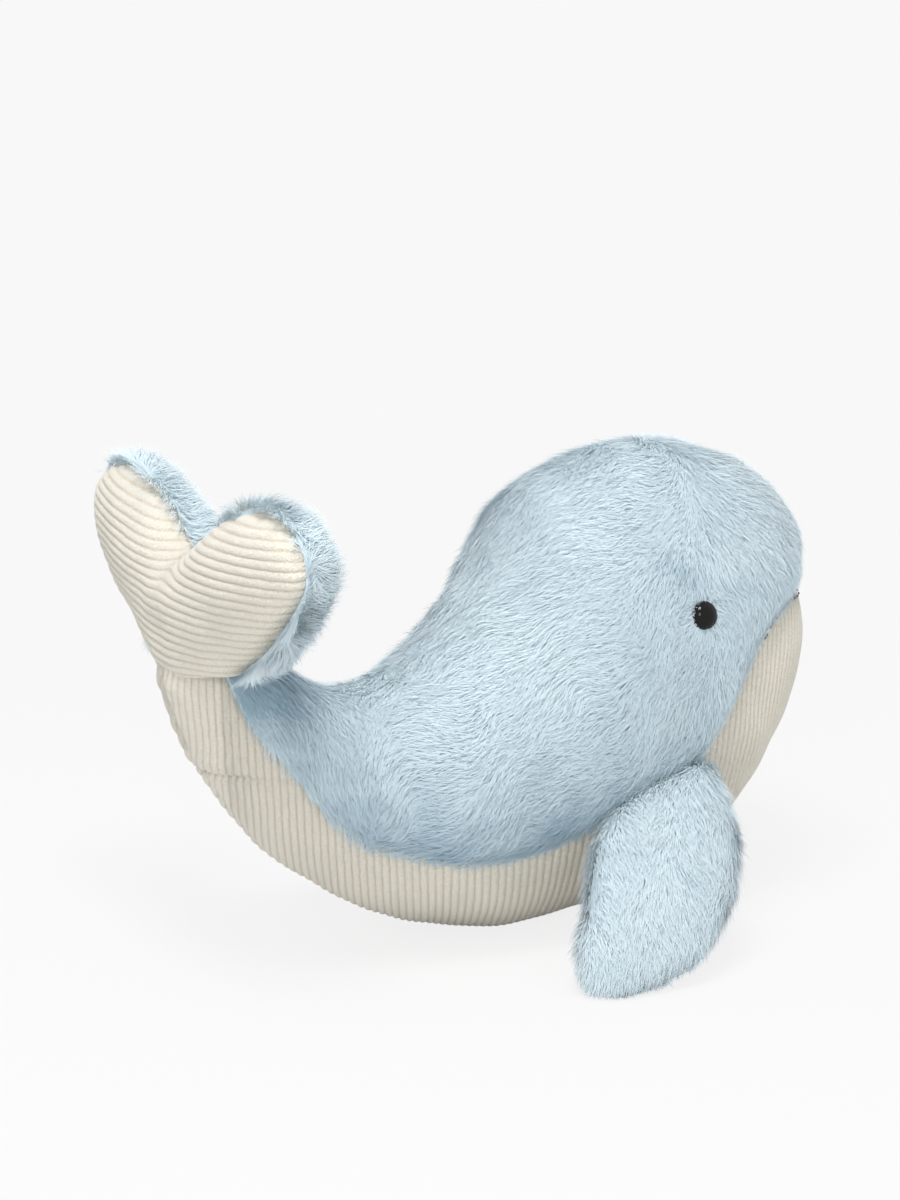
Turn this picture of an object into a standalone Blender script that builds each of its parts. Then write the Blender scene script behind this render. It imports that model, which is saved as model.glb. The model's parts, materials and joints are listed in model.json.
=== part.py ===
"""Plush whale: a stuffed fur and corduroy toy with two hinged fins and a hinged tail fluke.

The nose points along +X, +Z is up and the toy's right side faces -Y. Lengths are in metres.
The origin lies on the floor, under the middle of the toy's box.
"""

import math

import bmesh
import bpy
import numpy as np
from mathutils import Matrix, Vector

# Body, measured over the stuffing
BODY_LENGTH = 0.291
BODY_HEIGHT = 0.193
BODY_WIDTH = 0.126

# Fabrics, and the gap that lies between pieces that touch
FUR_THICKNESS = 0.004
CORDUROY_THICKNESS = 0.0015
SEAM_GAP = 0.0003

# Depth of the flat that the belly takes where it rests
REST_DEPTH = 0.0005

# Tail fluke, over its stuffing
FLUKE_SPAN = 0.175
FLUKE_HEIGHT = 0.064
FLUKE_THICKNESS = 0.032
FLUKE_FLEX = math.radians(18)
FLUKE_NECK_LAND = 0.0005

# Fins, over their stuffing: the root is sewn to the body, the tip rests by the floor
FIN_LENGTH = 0.081
FIN_WIDTH = 0.069
FIN_THICKNESS = 0.017
FIN_ROOT_RISE = math.radians(18.4)
FIN_SPREAD = math.radians(39)
FIN_SWEEP = math.radians(41)
FIN_RAISE = math.radians(55)
FIN_LOWER = math.radians(10)
FIN_ROOT_RELIEF = math.radians(5)

# Eyes: a domed button on a stem, held by a washer behind the fur
EYE_DIAMETER = 0.012
EYE_DOME_HEIGHT = 0.0052
EYE_RIM = 0.0010
EYE_SINK = 0.0018
EYE_STEM_DIAMETER = 0.0045
EYE_STEM_LENGTH = 0.0135
WASHER_DIAMETER = 0.0130
WASHER_THICKNESS = 0.0015
WASHER_DEPTH = 0.0008

# Mouth: a line of thread along the seam, round the nose
MOUTH_THREAD_DIAMETER = 0.0012
MOUTH_DROP = 0.0020

# How far a cutter reaches: about a hinge, under the belly, and out over an eye
HINGE_CUT_REACH = 0.060
REST_CUT_REACH = 0.120
EYE_CUT_REACH = 0.015

# Share of a row or a turn over which slopes are measured
SLOPE_STEP = 0.001

# Counts
BODY_STEPS = 30
FUR_STEPS = 5
CORDUROY_STEPS = 5
FLUKE_STEPS = 18
FIN_STEPS = 11
PAD_STEPS = 5
TURN_STEPS = 24
DOME_STEPS = 5
MOUTH_STEPS = 22

# Body sections from the nose to just past the fluke's seam. Each row gives the back point and the
# belly point as shares of BODY_LENGTH and BODY_HEIGHT, the half width as a share of half BODY_WIDTH,
# and how far down from the back to the belly the side seam lies, as a share of the half turn.
BODY_SECTION_SHARES = [
    (0.990, 0.711, 0.990, 0.711, 0.00, 0.49),
    (0.979, 0.809, 0.984, 0.602, 0.43, 0.47),
    (0.931, 0.903, 0.953, 0.364, 0.76, 0.41),
    (0.830, 0.995, 0.876, 0.172, 0.94, 0.45),
    (0.710, 1.000, 0.784, 0.047, 1.00, 0.55),
    (0.605, 0.939, 0.684, 0.019, 1.00, 0.59),
    (0.546, 0.804, 0.577, 0.008, 0.95, 0.59),
    (0.471, 0.664, 0.457, 0.019, 0.85, 0.60),
    (0.371, 0.566, 0.330, 0.073, 0.72, 0.585),
    (0.275, 0.545, 0.189, 0.213, 0.58, 0.585),
    (0.203, 0.587, 0.096, 0.374, 0.46, 0.54),
    (0.155, 0.644, 0.038, 0.514, 0.38, 0.53),
    (0.124, 0.716, 0.000, 0.659, 0.33, 0.515),
    (0.107, 0.804, -0.017, 0.758, 0.30, 0.50),
]
FLUKE_SEAM_ROW = 12
STUFFING_SPLIT_ROW = 8
NOSE_START_ROW = 0.02
BELLY_STRIP_SHARE = 0.11

# Half of the fluke, from its outer end to the middle: across as a share of half FLUKE_SPAN, top and
# bottom as shares of FLUKE_HEIGHT above the hinge, half thickness as a share of half FLUKE_THICKNESS.
FLUKE_HALF_SHARES = [
    (1.000, 0.74, 0.74, 0.00),
    (0.955, 0.90, 0.60, 0.38),
    (0.800, 1.00, 0.38, 0.68),
    (0.610, 1.00, 0.17, 0.86),
    (0.420, 0.93, 0.02, 0.94),
    (0.210, 0.80, -0.19, 0.98),
    (0.000, 0.58, -0.35, 1.00),
]

# Fin, from its rear edge to its front edge: across as a share of FIN_WIDTH from the root's middle,
# root end and tip end as shares of FIN_LENGTH, half thickness as a share of half FIN_THICKNESS.
FIN_SHARES = [
    (-0.440, 0.62, 0.62, 0.00),
    (-0.415, 0.42, 0.74, 0.45),
    (-0.340, 0.08, 0.84, 0.78),
    (-0.190, 0.01, 0.93, 0.94),
    (0.000, 0.00, 0.98, 1.00),
    (0.180, 0.00, 1.01, 1.00),
    (0.340, 0.03, 1.01, 0.92),
    (0.470, 0.26, 0.96, 0.76),
    (0.545, 0.48, 0.86, 0.45),
    (0.570, 0.68, 0.68, 0.00),
]
PAD_START_ROW = 0.05

# Places on the body, as a section row and a share of the half turn down from the back
FIN_SEAT_ROW = 5.0
FIN_SEAT_SHARE = 0.59
EYE_ROW = 3.95
EYE_SHARE = 0.377
MOUTH_END_ROW = 3.0

# Colours
FUR_BLUE = (0.62, 0.76, 0.84)
CORDUROY_CREAM = (0.74, 0.70, 0.61)
STUFFING_WHITE = (0.90, 0.90, 0.88)
EYE_BLACK = (0.012, 0.012, 0.013)
THREAD_BROWN = (0.10, 0.07, 0.06)
WASHER_WHITE = (0.80, 0.80, 0.80)


def clear_scene():
    for thing in list(bpy.data.objects):
        bpy.data.objects.remove(thing, do_unlink=True)


def new_collection(name):
    collection = bpy.data.collections.new(name)
    bpy.context.scene.collection.children.link(collection)
    return collection


def new_material(name, colour, roughness):
    material = bpy.data.materials.new(name)
    material.use_nodes = True
    shader = material.node_tree.nodes["Principled BSDF"]
    shader.inputs["Base Color"].default_value = (*colour, 1.0)
    shader.inputs["Roughness"].default_value = roughness
    return material


def smooth_line(values, closed):
    """Returns a smooth function that passes through values at 0, 1, 2 and so on."""
    values = np.asarray(values, float)
    count = len(values)
    matrix = np.eye(count)
    bend = np.zeros_like(values)
    for i in range(count):
        if closed or 0 < i < count - 1:
            before, after = (i - 1) % count, (i + 1) % count
            matrix[i, before] += 1
            matrix[i, i] = 4
            matrix[i, after] += 1
            bend[i] = 6 * (values[before] - 2 * values[i] + values[after])
    bend = np.linalg.solve(matrix, bend)

    def at(place):
        place = place % count if closed else min(max(place, 0), count - 1)
        i = min(int(place), count - 1 if closed else count - 2)
        j = (i + 1) % count
        b = place - i
        a = 1 - b
        return a * values[i] + b * values[j] + ((a**3 - a) * bend[i] + (b**3 - b) * bend[j]) / 6

    return at


class Form:
    """A stuffed form: oval sections, each from a near point to a far point, on smooth outlines."""

    def __init__(self, near, far, half_width, two_ends, axes, widest_share=0.5):
        outline = [np.array(p) for p in near]
        width = list(half_width)
        if two_ends:
            outline += [np.array(p) for p in far[-2:0:-1]]
            width += [-w for w in half_width[-2:0:-1]]
            self.middle = 0
        else:
            outline = [np.array(p) for p in far[:0:-1]] + outline
            width = [-w for w in half_width[:0:-1]] + width
            self.middle = len(near) - 1
        self.outline = smooth_line(outline, two_ends)
        self.width = smooth_line(width, two_ends)
        self.axes = [np.array(a, float) for a in axes]
        self.widest_share = widest_share
        self.last = len(near) - 1

    def point(self, row, turn):
        """The place at a section row and a turn from its near point, half a turn being 1."""
        near = self.outline(self.middle + row)
        far = self.outline(self.middle - row)
        widest = near + (far - near) * self.widest_share
        lift = math.cos(turn * math.pi)
        flat = widest + (near - widest) * lift if lift > 0 else widest - (far - widest) * lift
        side = self.width(self.middle + row) * math.sin(turn * math.pi)
        return flat[0] * self.axes[0] + flat[1] * self.axes[1] + side * self.axes[2]

    def heart(self, row):
        """The middle of a section."""
        return (self.point(row, 0) + self.point(row, 1)) / 2

    def normal(self, row, turn):
        low, high = max(row - SLOPE_STEP, 0), min(row + SLOPE_STEP, self.last)
        along = self.point(high, turn) - self.point(low, turn)
        round_it = self.point(row, turn + SLOPE_STEP) - self.point(row, turn - SLOPE_STEP)
        normal = np.cross(along, round_it)
        normal /= np.linalg.norm(normal)
        return normal if normal @ (self.point(row, turn) - self.heart(row)) > 0 else -normal

    def skin(self, row, turn, depth):
        """The place that lies depth outside the stuffing."""
        return self.point(row, turn) + self.normal(row, turn) * depth

    def turn_for(self, row, turn, length):
        """The change of turn that covers this length along the section."""
        before, after = self.point(row, turn - SLOPE_STEP), self.point(row, turn + SLOPE_STEP)
        return length * 2 * SLOPE_STEP / np.linalg.norm(after - before)

    def rows_for(self, row, length):
        """The change of row that covers at least this length at both ends of the section."""
        paces = []
        for turn in (0, 1):
            before, after = self.point(row - SLOPE_STEP, turn), self.point(row + SLOPE_STEP, turn)
            paces.append(np.linalg.norm(after - before))
        return length * 2 * SLOPE_STEP / min(paces)


def closed_object(name, bm, collection, material, parent=None):
    """Makes a bmesh of one closed body an object with its faces pointing out."""
    bmesh.ops.recalc_face_normals(bm, faces=bm.faces)
    mesh = bpy.data.meshes.new(name)
    bm.to_mesh(mesh)
    bm.free()
    mesh.shade_smooth()
    mesh.materials.append(material)
    thing = bpy.data.objects.new(name, mesh)
    thing.parent = parent
    collection.objects.link(thing)
    return thing


def grid_faces(bm, rows, closed=False):
    """Joins lines of points by triangles. The second half of a ring mirrors the first."""
    count = len(rows[0])
    for low, high in zip(rows, rows[1:]):
        for j in range(count if closed else count - 1):
            k = (j + 1) % count
            if closed and j >= count // 2:
                bm.faces.new((low[j], low[k], high[j]))
                bm.faces.new((low[k], high[k], high[j]))
            else:
                bm.faces.new((low[j], low[k], high[k]))
                bm.faces.new((low[j], high[k], high[j]))


def panel(name, form, lines, thickness, collection, material, parent=None):
    """A cut piece of fabric on a form, through lines of (row, turns)."""
    bm = bmesh.new()
    inner, outer = [
        [[bm.verts.new(form.skin(row, turn, depth)) for turn in turns] for row, turns in lines]
        for depth in (SEAM_GAP, SEAM_GAP + thickness)
    ]
    grid_faces(bm, inner)
    grid_faces(bm, outer)
    grid_faces(bm, [inner[0], outer[0]])
    grid_faces(bm, [inner[-1], outer[-1]])
    grid_faces(bm, [[line[0] for line in inner], [line[0] for line in outer]])
    grid_faces(bm, [[line[-1] for line in inner], [line[-1] for line in outer]])
    return closed_object(name, bm, collection, material, parent)


def stuffed_form(name, form, lines, collection, material, parent=None):
    """A closed form through rings of (row, turns), which its end sections close."""
    bm = bmesh.new()
    rings = [[bm.verts.new(form.point(row, turn)) for turn in turns] for row, turns in lines]
    grid_faces(bm, rings, closed=True)
    bm.faces.new(rings[0])
    bm.faces.new(rings[-1])
    return closed_object(name, bm, collection, material, parent)


def cut(thing, cutter):
    modifier = thing.modifiers.new("cut", "BOOLEAN")
    modifier.operation = "DIFFERENCE"
    modifier.solver = "EXACT"
    modifier.object = cutter


def as_cutter(thing):
    thing.hide_render = True
    thing.display_type = "WIRE"
    return thing


def prism(name, outline, half_depth, collection, material):
    """A closed prism along Y from an outline of (x, z) points."""
    bm = bmesh.new()
    ends = [[bm.verts.new((x, y, z)) for x, z in outline] for y in (-half_depth, half_depth)]
    grid_faces(bm, ends, closed=True)
    for end in ends:
        bm.faces.new(end)
    return closed_object(name, bm, collection, material)


def turned(name, profile, collection, material, parent=None):
    """A turned solid from a profile of (radius, height) points, about its own Z axis."""
    mesh = bpy.data.meshes.new(name)
    edges = [(i, i + 1) for i in range(len(profile) - 1)]
    mesh.from_pydata([(radius, 0, height) for radius, height in profile], edges, [])
    mesh.materials.append(material)
    thing = bpy.data.objects.new(name, mesh)
    thing.parent = parent
    collection.objects.link(thing)
    screw = thing.modifiers.new("turn", "SCREW")
    screw.steps = TURN_STEPS
    screw.render_steps = TURN_STEPS
    screw.use_merge_vertices = True
    screw.merge_threshold = 0.00001
    screw.use_smooth_shade = False
    return thing


def spread(start, end, count):
    return [start + (end - start) * i / count for i in range(count + 1)]


def body_form():
    near, far, half_width, seam = [], [], [], []
    for back_x, back_z, belly_x, belly_z, width, share in BODY_SECTION_SHARES:
        near.append((back_x * BODY_LENGTH, back_z * BODY_HEIGHT))
        far.append((belly_x * BODY_LENGTH, belly_z * BODY_HEIGHT))
        half_width.append(width * BODY_WIDTH / 2)
        seam.append(share)
    form = Form(near, far, half_width, False, ((1, 0, 0), (0, 0, 1), (0, -1, 0)))
    form.seam = smooth_line(seam, False)
    return form


def body_rows(body):
    """The section rows before and behind the split in the stuffing."""
    gap = body.rows_for(STUFFING_SPLIT_ROW, SEAM_GAP / 2)
    front_steps = round(BODY_STEPS * STUFFING_SPLIT_ROW / body.last)
    front = spread(NOSE_START_ROW, STUFFING_SPLIT_ROW - gap, front_steps)
    rear = spread(STUFFING_SPLIT_ROW + gap, body.last, BODY_STEPS - front_steps)
    return front, rear


def fur_turns(body, row):
    first = body.turn_for(row, 0, SEAM_GAP / 2)
    seam = body.seam(row)
    last = seam - body.turn_for(row, seam, SEAM_GAP / 2)
    return spread(first, last, FUR_STEPS)


def corduroy_turns(body, row):
    """Steps from the side seam, then a narrow strip beside the seam under the belly."""
    seam = body.seam(row)
    first = seam + body.turn_for(row, seam, SEAM_GAP / 2)
    last = 1 - body.turn_for(row, 1, SEAM_GAP / 2)
    strip = (last - first) * BELLY_STRIP_SHARE
    return spread(first, last - strip, CORDUROY_STEPS - 1) + [last]


def body_panels(body, parts, fur, corduroy):
    """The two fur sides and the two corduroy sides, whose seams leave SEAM_GAP between them."""
    front, rear = body_rows(body)
    made = {}
    for side, sign in (("right", 1), ("left", -1)):
        for name, turns, thickness, material in (
            (f"back_fur_{side}", fur_turns, FUR_THICKNESS, fur),
            (f"belly_corduroy_{side}", corduroy_turns, CORDUROY_THICKNESS, corduroy),
        ):
            lines = [(row, [sign * t for t in turns(body, row)]) for row in front + rear]
            made[name] = panel(name, body, lines, thickness, parts, material)
    return made


def body_stuffing(body, parts, stuffing):
    """The stuffing of the head and belly, and that of the tail, which bends up behind it."""
    made = {}
    for name, rows in zip(("body_stuffing", "tail_stuffing"), body_rows(body)):
        lines = []
        for row in rows:
            half = fur_turns(body, row) + corduroy_turns(body, row)
            lines.append((row, half + [-t for t in reversed(half)]))
        made[name] = stuffed_form(name, body, lines, parts, stuffing)
    return made


def cut_tail_end(body, tail_pieces, fluke_pieces, cutters, material):
    """Cuts the tail and the fluke to two ridges that meet along the fluke's hinge."""
    reach = HINGE_CUT_REACH
    rise = reach * math.tan(FLUKE_FLEX / 2)
    land = FLUKE_NECK_LAND
    for name, pieces, sign in (
        ("tail_end_cutter", tail_pieces, 1),
        ("fluke_base_cutter", fluke_pieces, -1),
    ):
        face = [(-reach, -rise), (-land, 0), (land, 0), (reach, -rise)]
        outline = [(x, z - SEAM_GAP / 2) for x, z in face] + [(reach, reach), (-reach, reach)]
        outline = [(x, sign * z) for x, z in outline]
        cutter = as_cutter(prism(name, outline, reach, cutters, material))
        place_fluke_frame(cutter, body)
        for piece in pieces:
            cut(piece, cutter)


def fluke_hinge(body):
    return Vector(body.heart(FLUKE_SEAM_ROW))


def place_fluke_frame(thing, body):
    """Sets a thing at the fluke's hinge, tilted as the tail's last section is."""
    back = body.point(FLUKE_SEAM_ROW, 0)
    belly = body.point(FLUKE_SEAM_ROW, 1)
    tilt = math.atan2(back[2] - belly[2], back[0] - belly[0])
    thing.location = fluke_hinge(body)
    thing.rotation_euler = (0, -tilt, 0)


def cut_rest_flat(pieces, cutters, material):
    """Cuts a flat across the lowest part of the belly, and returns its height."""
    lowest = min((piece.matrix_world @ v.co).z for piece in pieces for v in piece.data.vertices)
    floor = lowest + REST_DEPTH
    reach = REST_CUT_REACH
    end = BODY_LENGTH + reach
    outline = [(-reach, floor), (end, floor), (end, floor - reach), (-reach, floor - reach)]
    cutter = as_cutter(prism("rest_cutter", outline, reach, cutters, material))
    for piece in pieces:
        cut(piece, cutter)
    return floor


def fluke_form():
    half = FLUKE_HALF_SHARES
    rows = half + [(-across, top, low, thick) for across, top, low, thick in half[-2::-1]]
    near = [(-a * FLUKE_SPAN / 2, t * FLUKE_HEIGHT) for a, t, _, _ in rows]
    far = [(-a * FLUKE_SPAN / 2, b * FLUKE_HEIGHT) for a, _, b, _ in rows]
    width = [w * FLUKE_THICKNESS / 2 for _, _, _, w in rows]
    return Form(near, far, width, True, ((0, 1, 0), (0, 0, 1), (1, 0, 0)))


def pad_turns(form, row):
    first = form.turn_for(row, 0, SEAM_GAP / 2)
    last = 1 - form.turn_for(row, 1, SEAM_GAP / 2)
    return spread(first, last, PAD_STEPS)


def pad_panels(form, rows, names, hinge, parts, fur, corduroy):
    """The fur face and the corduroy face of a flat cushion, which meet along its rim."""
    made = {}
    for name, sign, thickness, material in (
        (names[0], 1, FUR_THICKNESS, fur),
        (names[1], -1, CORDUROY_THICKNESS, corduroy),
    ):
        lines = [(row, [sign * t for t in pad_turns(form, row)]) for row in rows]
        made[name] = panel(name, form, lines, thickness, parts, material, hinge)
    return made


def pad_stuffing(form, rows, name, hinge, parts, material):
    lines = []
    for row in rows:
        half = pad_turns(form, row)
        lines.append((row, half + [-t for t in reversed(half)]))
    return stuffed_form(name, form, lines, parts, material, hinge)


def make_fluke(body, parts, materials):
    fur, corduroy, stuffing = materials
    hinge = bpy.data.objects.new("fluke_hinge", None)
    hinge.location = fluke_hinge(body)
    parts.objects.link(hinge)
    form = fluke_form()
    middle = form.last / 2
    gap = form.rows_for(middle, SEAM_GAP / 2)
    right = spread(PAD_START_ROW, middle - gap, FLUKE_STEPS // 2)
    left = spread(middle + gap, form.last - PAD_START_ROW, FLUKE_STEPS // 2)
    names = ("fluke_fur", "fluke_corduroy")
    made = pad_panels(form, right + left, names, hinge, parts, fur, corduroy)
    for name, rows in (("fluke_stuffing_right", right), ("fluke_stuffing_left", left)):
        made[name] = pad_stuffing(form, rows, name, hinge, parts, stuffing)
    return made


def fin_form(mirror):
    """The fin in its hinge's frame: the root along X, the fur face towards +Z."""
    lean = math.sin(FIN_SWEEP)
    drop = math.cos(FIN_SWEEP)
    near, far, width = [], [], []
    for across, root, tip, thick in FIN_SHARES:
        for line, share in ((near, root), (far, tip)):
            length = share * FIN_LENGTH
            line.append((across * FIN_WIDTH - length * lean, -length * drop))
        width.append(thick * FIN_THICKNESS / 2)
    return Form(near, far, width, True, ((1, 0, 0), (0, mirror, 0), (0, 0, 1)))


def fin_frame(body, sign):
    """The hinge's place beside the body, and its turn. X runs along the root and Z out of the fur."""
    cos_rise, sin_rise = math.cos(FIN_ROOT_RISE), math.sin(FIN_ROOT_RISE)
    cos_spread, sin_spread = math.cos(FIN_SPREAD), math.sin(FIN_SPREAD)
    x_axis = Vector((cos_rise, 0, sin_rise))
    z_axis = Vector((-sin_rise * sin_spread, -sign * cos_spread, cos_rise * sin_spread))
    y_axis = z_axis.cross(x_axis)
    frame = Matrix((x_axis, y_axis, z_axis)).transposed().to_4x4()
    stand_off = FUR_THICKNESS + SEAM_GAP * 2
    frame.translation = Vector(body.skin(FIN_SEAT_ROW, sign * FIN_SEAT_SHARE, stand_off))
    return frame


def fin_root_cutter(body, side, sign, hinge, cutters, material):
    """What the fin leaves free about its hinge, so that it clears the body all the way."""
    facing = Vector(body.normal(FIN_SEAT_ROW, sign * FIN_SEAT_SHARE))
    facing = hinge.matrix_world.to_3x3().transposed() @ facing
    hang = math.atan2(facing.z, -sign * facing.y)
    quarter = math.pi / 2 - FIN_ROOT_RELIEF
    upper = quarter + hang - FIN_RAISE
    lower = quarter - hang - FIN_LOWER
    reach = HINGE_CUT_REACH
    top, low = reach * math.sin(upper), -reach * math.sin(lower)
    outline = [(0, 0), (reach * math.cos(upper), top), (-reach, top)]
    outline += [(-reach, low), (reach * math.cos(lower), low)]
    outline = [(-sign * along, height) for along, height in outline]
    cutter = as_cutter(prism(f"fin_root_cutter_{side}", outline, reach, cutters, material))
    cutter.parent = hinge
    cutter.rotation_euler = (0, 0, math.pi / 2)
    return cutter


def make_fin(body, side, sign, parts, cutters, materials):
    fur, corduroy, stuffing = materials
    hinge = bpy.data.objects.new(f"fin_{side}_hinge", None)
    hinge.matrix_world = fin_frame(body, sign)
    parts.objects.link(hinge)
    form = fin_form(sign)
    names = (f"fin_{side}_fur", f"fin_{side}_corduroy")
    rows = spread(PAD_START_ROW, form.last - PAD_START_ROW, FIN_STEPS)
    made = pad_panels(form, rows, names, hinge, parts, fur, corduroy)
    filling = pad_stuffing(form, rows, f"fin_{side}_stuffing", hinge, parts, stuffing)
    cutter = fin_root_cutter(body, side, sign, hinge, cutters, stuffing)
    for piece in list(made.values()) + [filling]:
        cut(piece, cutter)


def eye_profile():
    """Dome, rim and stem, from the top of the dome down the outside to the end of the stem."""
    radius = EYE_DIAMETER / 2
    profile = []
    for angle in spread(math.pi / 2, 0, DOME_STEPS):
        height = EYE_RIM + (EYE_DOME_HEIGHT - EYE_RIM) * math.sin(angle)
        profile.append((radius * math.cos(angle), height))
    profile[0] = (0, profile[0][1])
    stem = EYE_STEM_DIAMETER / 2
    return profile + [(radius, 0), (stem, 0), (stem, -EYE_STEM_LENGTH), (0, -EYE_STEM_LENGTH)]


def washer_height():
    """The height of the washer's outer face in the eye's frame."""
    return EYE_SINK - FUR_THICKNESS - WASHER_DEPTH


def washer_profile():
    bore = EYE_STEM_DIAMETER / 2 + SEAM_GAP
    rim = WASHER_DIAMETER / 2
    top = washer_height()
    low = top - WASHER_THICKNESS
    return [(bore, top), (rim, top), (rim, low), (bore, low), (bore, top)]


def eye_pocket_profile():
    """The room that the eye and its washer take in the fur and the stuffing."""
    recess = EYE_DIAMETER / 2 + SEAM_GAP
    stem = EYE_STEM_DIAMETER / 2 + SEAM_GAP
    seat = WASHER_DIAMETER / 2 + SEAM_GAP
    top = washer_height() + SEAM_GAP
    low = top - WASHER_THICKNESS - SEAM_GAP * 2
    end = -EYE_STEM_LENGTH - SEAM_GAP
    inside = EYE_SINK - FUR_THICKNESS - SEAM_GAP / 2
    return [
        (0, EYE_CUT_REACH),
        (recess, EYE_CUT_REACH),
        (recess, -SEAM_GAP),
        (stem, -SEAM_GAP),
        (stem, inside),
        (seat, inside),
        (seat, low),
        (stem, low),
        (stem, end),
        (0, end),
    ]


def make_eyes(body, fur_pieces, body_stuffing_piece, parts, cutters, materials):
    black, white = materials
    for side, sign in (("right", 1), ("left", -1)):
        turn = sign * EYE_SHARE
        place = Vector(body.skin(EYE_ROW, turn, SEAM_GAP + FUR_THICKNESS - EYE_SINK))
        facing = Vector(body.normal(EYE_ROW, turn))
        holder = bpy.data.objects.new(f"eye_{side}_seat", None)
        holder.location = place
        holder.rotation_mode = "QUATERNION"
        holder.rotation_quaternion = facing.to_track_quat("Z", "Y")
        parts.objects.link(holder)
        turned(f"eye_{side}", eye_profile(), parts, black, holder)
        turned(f"eye_washer_{side}", washer_profile(), parts, white, holder)
        pocket = turned(f"eye_pocket_cutter_{side}", eye_pocket_profile(), cutters, white, holder)
        as_cutter(pocket)
        cut(fur_pieces[side], pocket)
        cut(body_stuffing_piece, pocket)


def make_mouth(body, parts, material):
    """A thread along the seam, from one side of the face round the nose to the other."""
    radius = MOUTH_THREAD_DIAMETER / 2
    depth = SEAM_GAP * 2 + CORDUROY_THICKNESS + radius
    curve = bpy.data.curves.new("mouth_thread", "CURVE")
    curve.dimensions = "3D"
    curve.bevel_depth = radius
    curve.bevel_resolution = 1
    curve.use_fill_caps = True
    places, normals = [], []
    for share in spread(-1, 1, MOUTH_STEPS):
        row = max(abs(share) * MOUTH_END_ROW, NOSE_START_ROW)
        turn = math.copysign(body.seam(row), -share)
        places.append(body.skin(row, turn, depth))
        normals.append(body.normal(row, turn))
    spline = curve.splines.new("POLY")
    spline.points.add(MOUTH_STEPS)
    for i, point in enumerate(spline.points):
        along = places[min(i + 1, MOUTH_STEPS)] - places[max(i - 1, 0)]
        down = Vector(np.cross(along, normals[i])).normalized()
        point.co = (*(Vector(places[i]) + down * MOUTH_DROP), 1)
    curve.materials.append(material)
    thread = bpy.data.objects.new("mouth_thread", curve)
    parts.objects.link(thread)


def stand_on_origin(floor, parts, cutters):
    """Moves everything so that the flat lies at Z = 0 and the box's middle at X = 0."""
    bpy.context.view_layer.update()
    graph = bpy.context.evaluated_depsgraph_get()
    places = []
    for thing in parts.objects:
        if thing.type in {"MESH", "CURVE"}:
            mesh = thing.evaluated_get(graph).to_mesh()
            places += [(thing.matrix_world @ v.co).x for v in mesh.vertices]
    shift = Vector((-(min(places) + max(places)) / 2, 0, -floor))
    for thing in list(parts.objects) + list(cutters.objects):
        if thing.parent is None:
            thing.location += shift


def main():
    clear_scene()
    parts = new_collection("plush_whale")
    cutters = new_collection("cutters")
    fur = new_material("fur", FUR_BLUE, 0.9)
    corduroy = new_material("corduroy", CORDUROY_CREAM, 0.85)
    stuffing = new_material("stuffing", STUFFING_WHITE, 0.95)
    black = new_material("eye_black", EYE_BLACK, 0.08)
    thread = new_material("thread", THREAD_BROWN, 0.7)
    white = new_material("washer", WASHER_WHITE, 0.4)

    body = body_form()
    panels = body_panels(body, parts, fur, corduroy)
    fillings = body_stuffing(body, parts, stuffing)
    fluke = make_fluke(body, parts, (fur, corduroy, stuffing))
    tail_pieces = list(panels.values()) + [fillings["tail_stuffing"]]
    cut_tail_end(body, tail_pieces, list(fluke.values()), cutters, stuffing)
    belly = [panels["belly_corduroy_right"], panels["belly_corduroy_left"]]
    floor = cut_rest_flat(belly, cutters, stuffing)
    for side, sign in (("right", 1), ("left", -1)):
        make_fin(body, side, sign, parts, cutters, (fur, corduroy, stuffing))
    fur_pieces = {"right": panels["back_fur_right"], "left": panels["back_fur_left"]}
    make_eyes(body, fur_pieces, fillings["body_stuffing"], parts, cutters, (black, white))
    make_mouth(body, parts, thread)
    stand_on_origin(floor, parts, cutters)


main()
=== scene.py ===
"""Looks of the plush whale: its pile, corduroy, eyes and mouth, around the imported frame."""

import json
import math

import bmesh
import bpy
import numpy as np
from mathutils import Matrix, Vector


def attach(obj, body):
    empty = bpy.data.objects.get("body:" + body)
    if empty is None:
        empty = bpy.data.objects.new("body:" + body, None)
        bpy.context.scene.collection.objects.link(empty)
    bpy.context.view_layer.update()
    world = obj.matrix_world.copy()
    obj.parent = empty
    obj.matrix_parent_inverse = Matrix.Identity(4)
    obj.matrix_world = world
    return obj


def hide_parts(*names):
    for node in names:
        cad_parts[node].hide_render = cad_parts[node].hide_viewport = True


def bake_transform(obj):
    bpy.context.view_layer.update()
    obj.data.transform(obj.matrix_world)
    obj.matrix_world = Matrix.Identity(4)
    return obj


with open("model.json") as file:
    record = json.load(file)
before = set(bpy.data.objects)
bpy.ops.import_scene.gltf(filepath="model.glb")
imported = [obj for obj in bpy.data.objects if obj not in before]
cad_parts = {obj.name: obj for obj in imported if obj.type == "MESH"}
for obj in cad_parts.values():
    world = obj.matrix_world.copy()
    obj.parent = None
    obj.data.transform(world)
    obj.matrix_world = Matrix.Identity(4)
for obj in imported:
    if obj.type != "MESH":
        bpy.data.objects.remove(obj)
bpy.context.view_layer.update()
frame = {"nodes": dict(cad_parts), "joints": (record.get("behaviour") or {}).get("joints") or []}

# Body and fabrics, as the frame has them
BODY_LENGTH = 0.291
BODY_HEIGHT = 0.193
BODY_WIDTH = 0.126
FUR_THICKNESS = 0.004
SEAM_GAP = 0.0003
FLUKE_SPAN = 0.175
FLUKE_HEIGHT = 0.064
FLUKE_THICKNESS = 0.032
FIN_LENGTH = 0.081
FIN_WIDTH = 0.069
FIN_THICKNESS = 0.017
FIN_ROOT_RISE = math.radians(18.4)
FIN_SPREAD = math.radians(39)
FIN_SWEEP = math.radians(41)
FLUKE_SEAM_ROW = 12
TAIL_END_ROW = FLUKE_SEAM_ROW + 0.30
NOSE_START_ROW = 0.02
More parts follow.
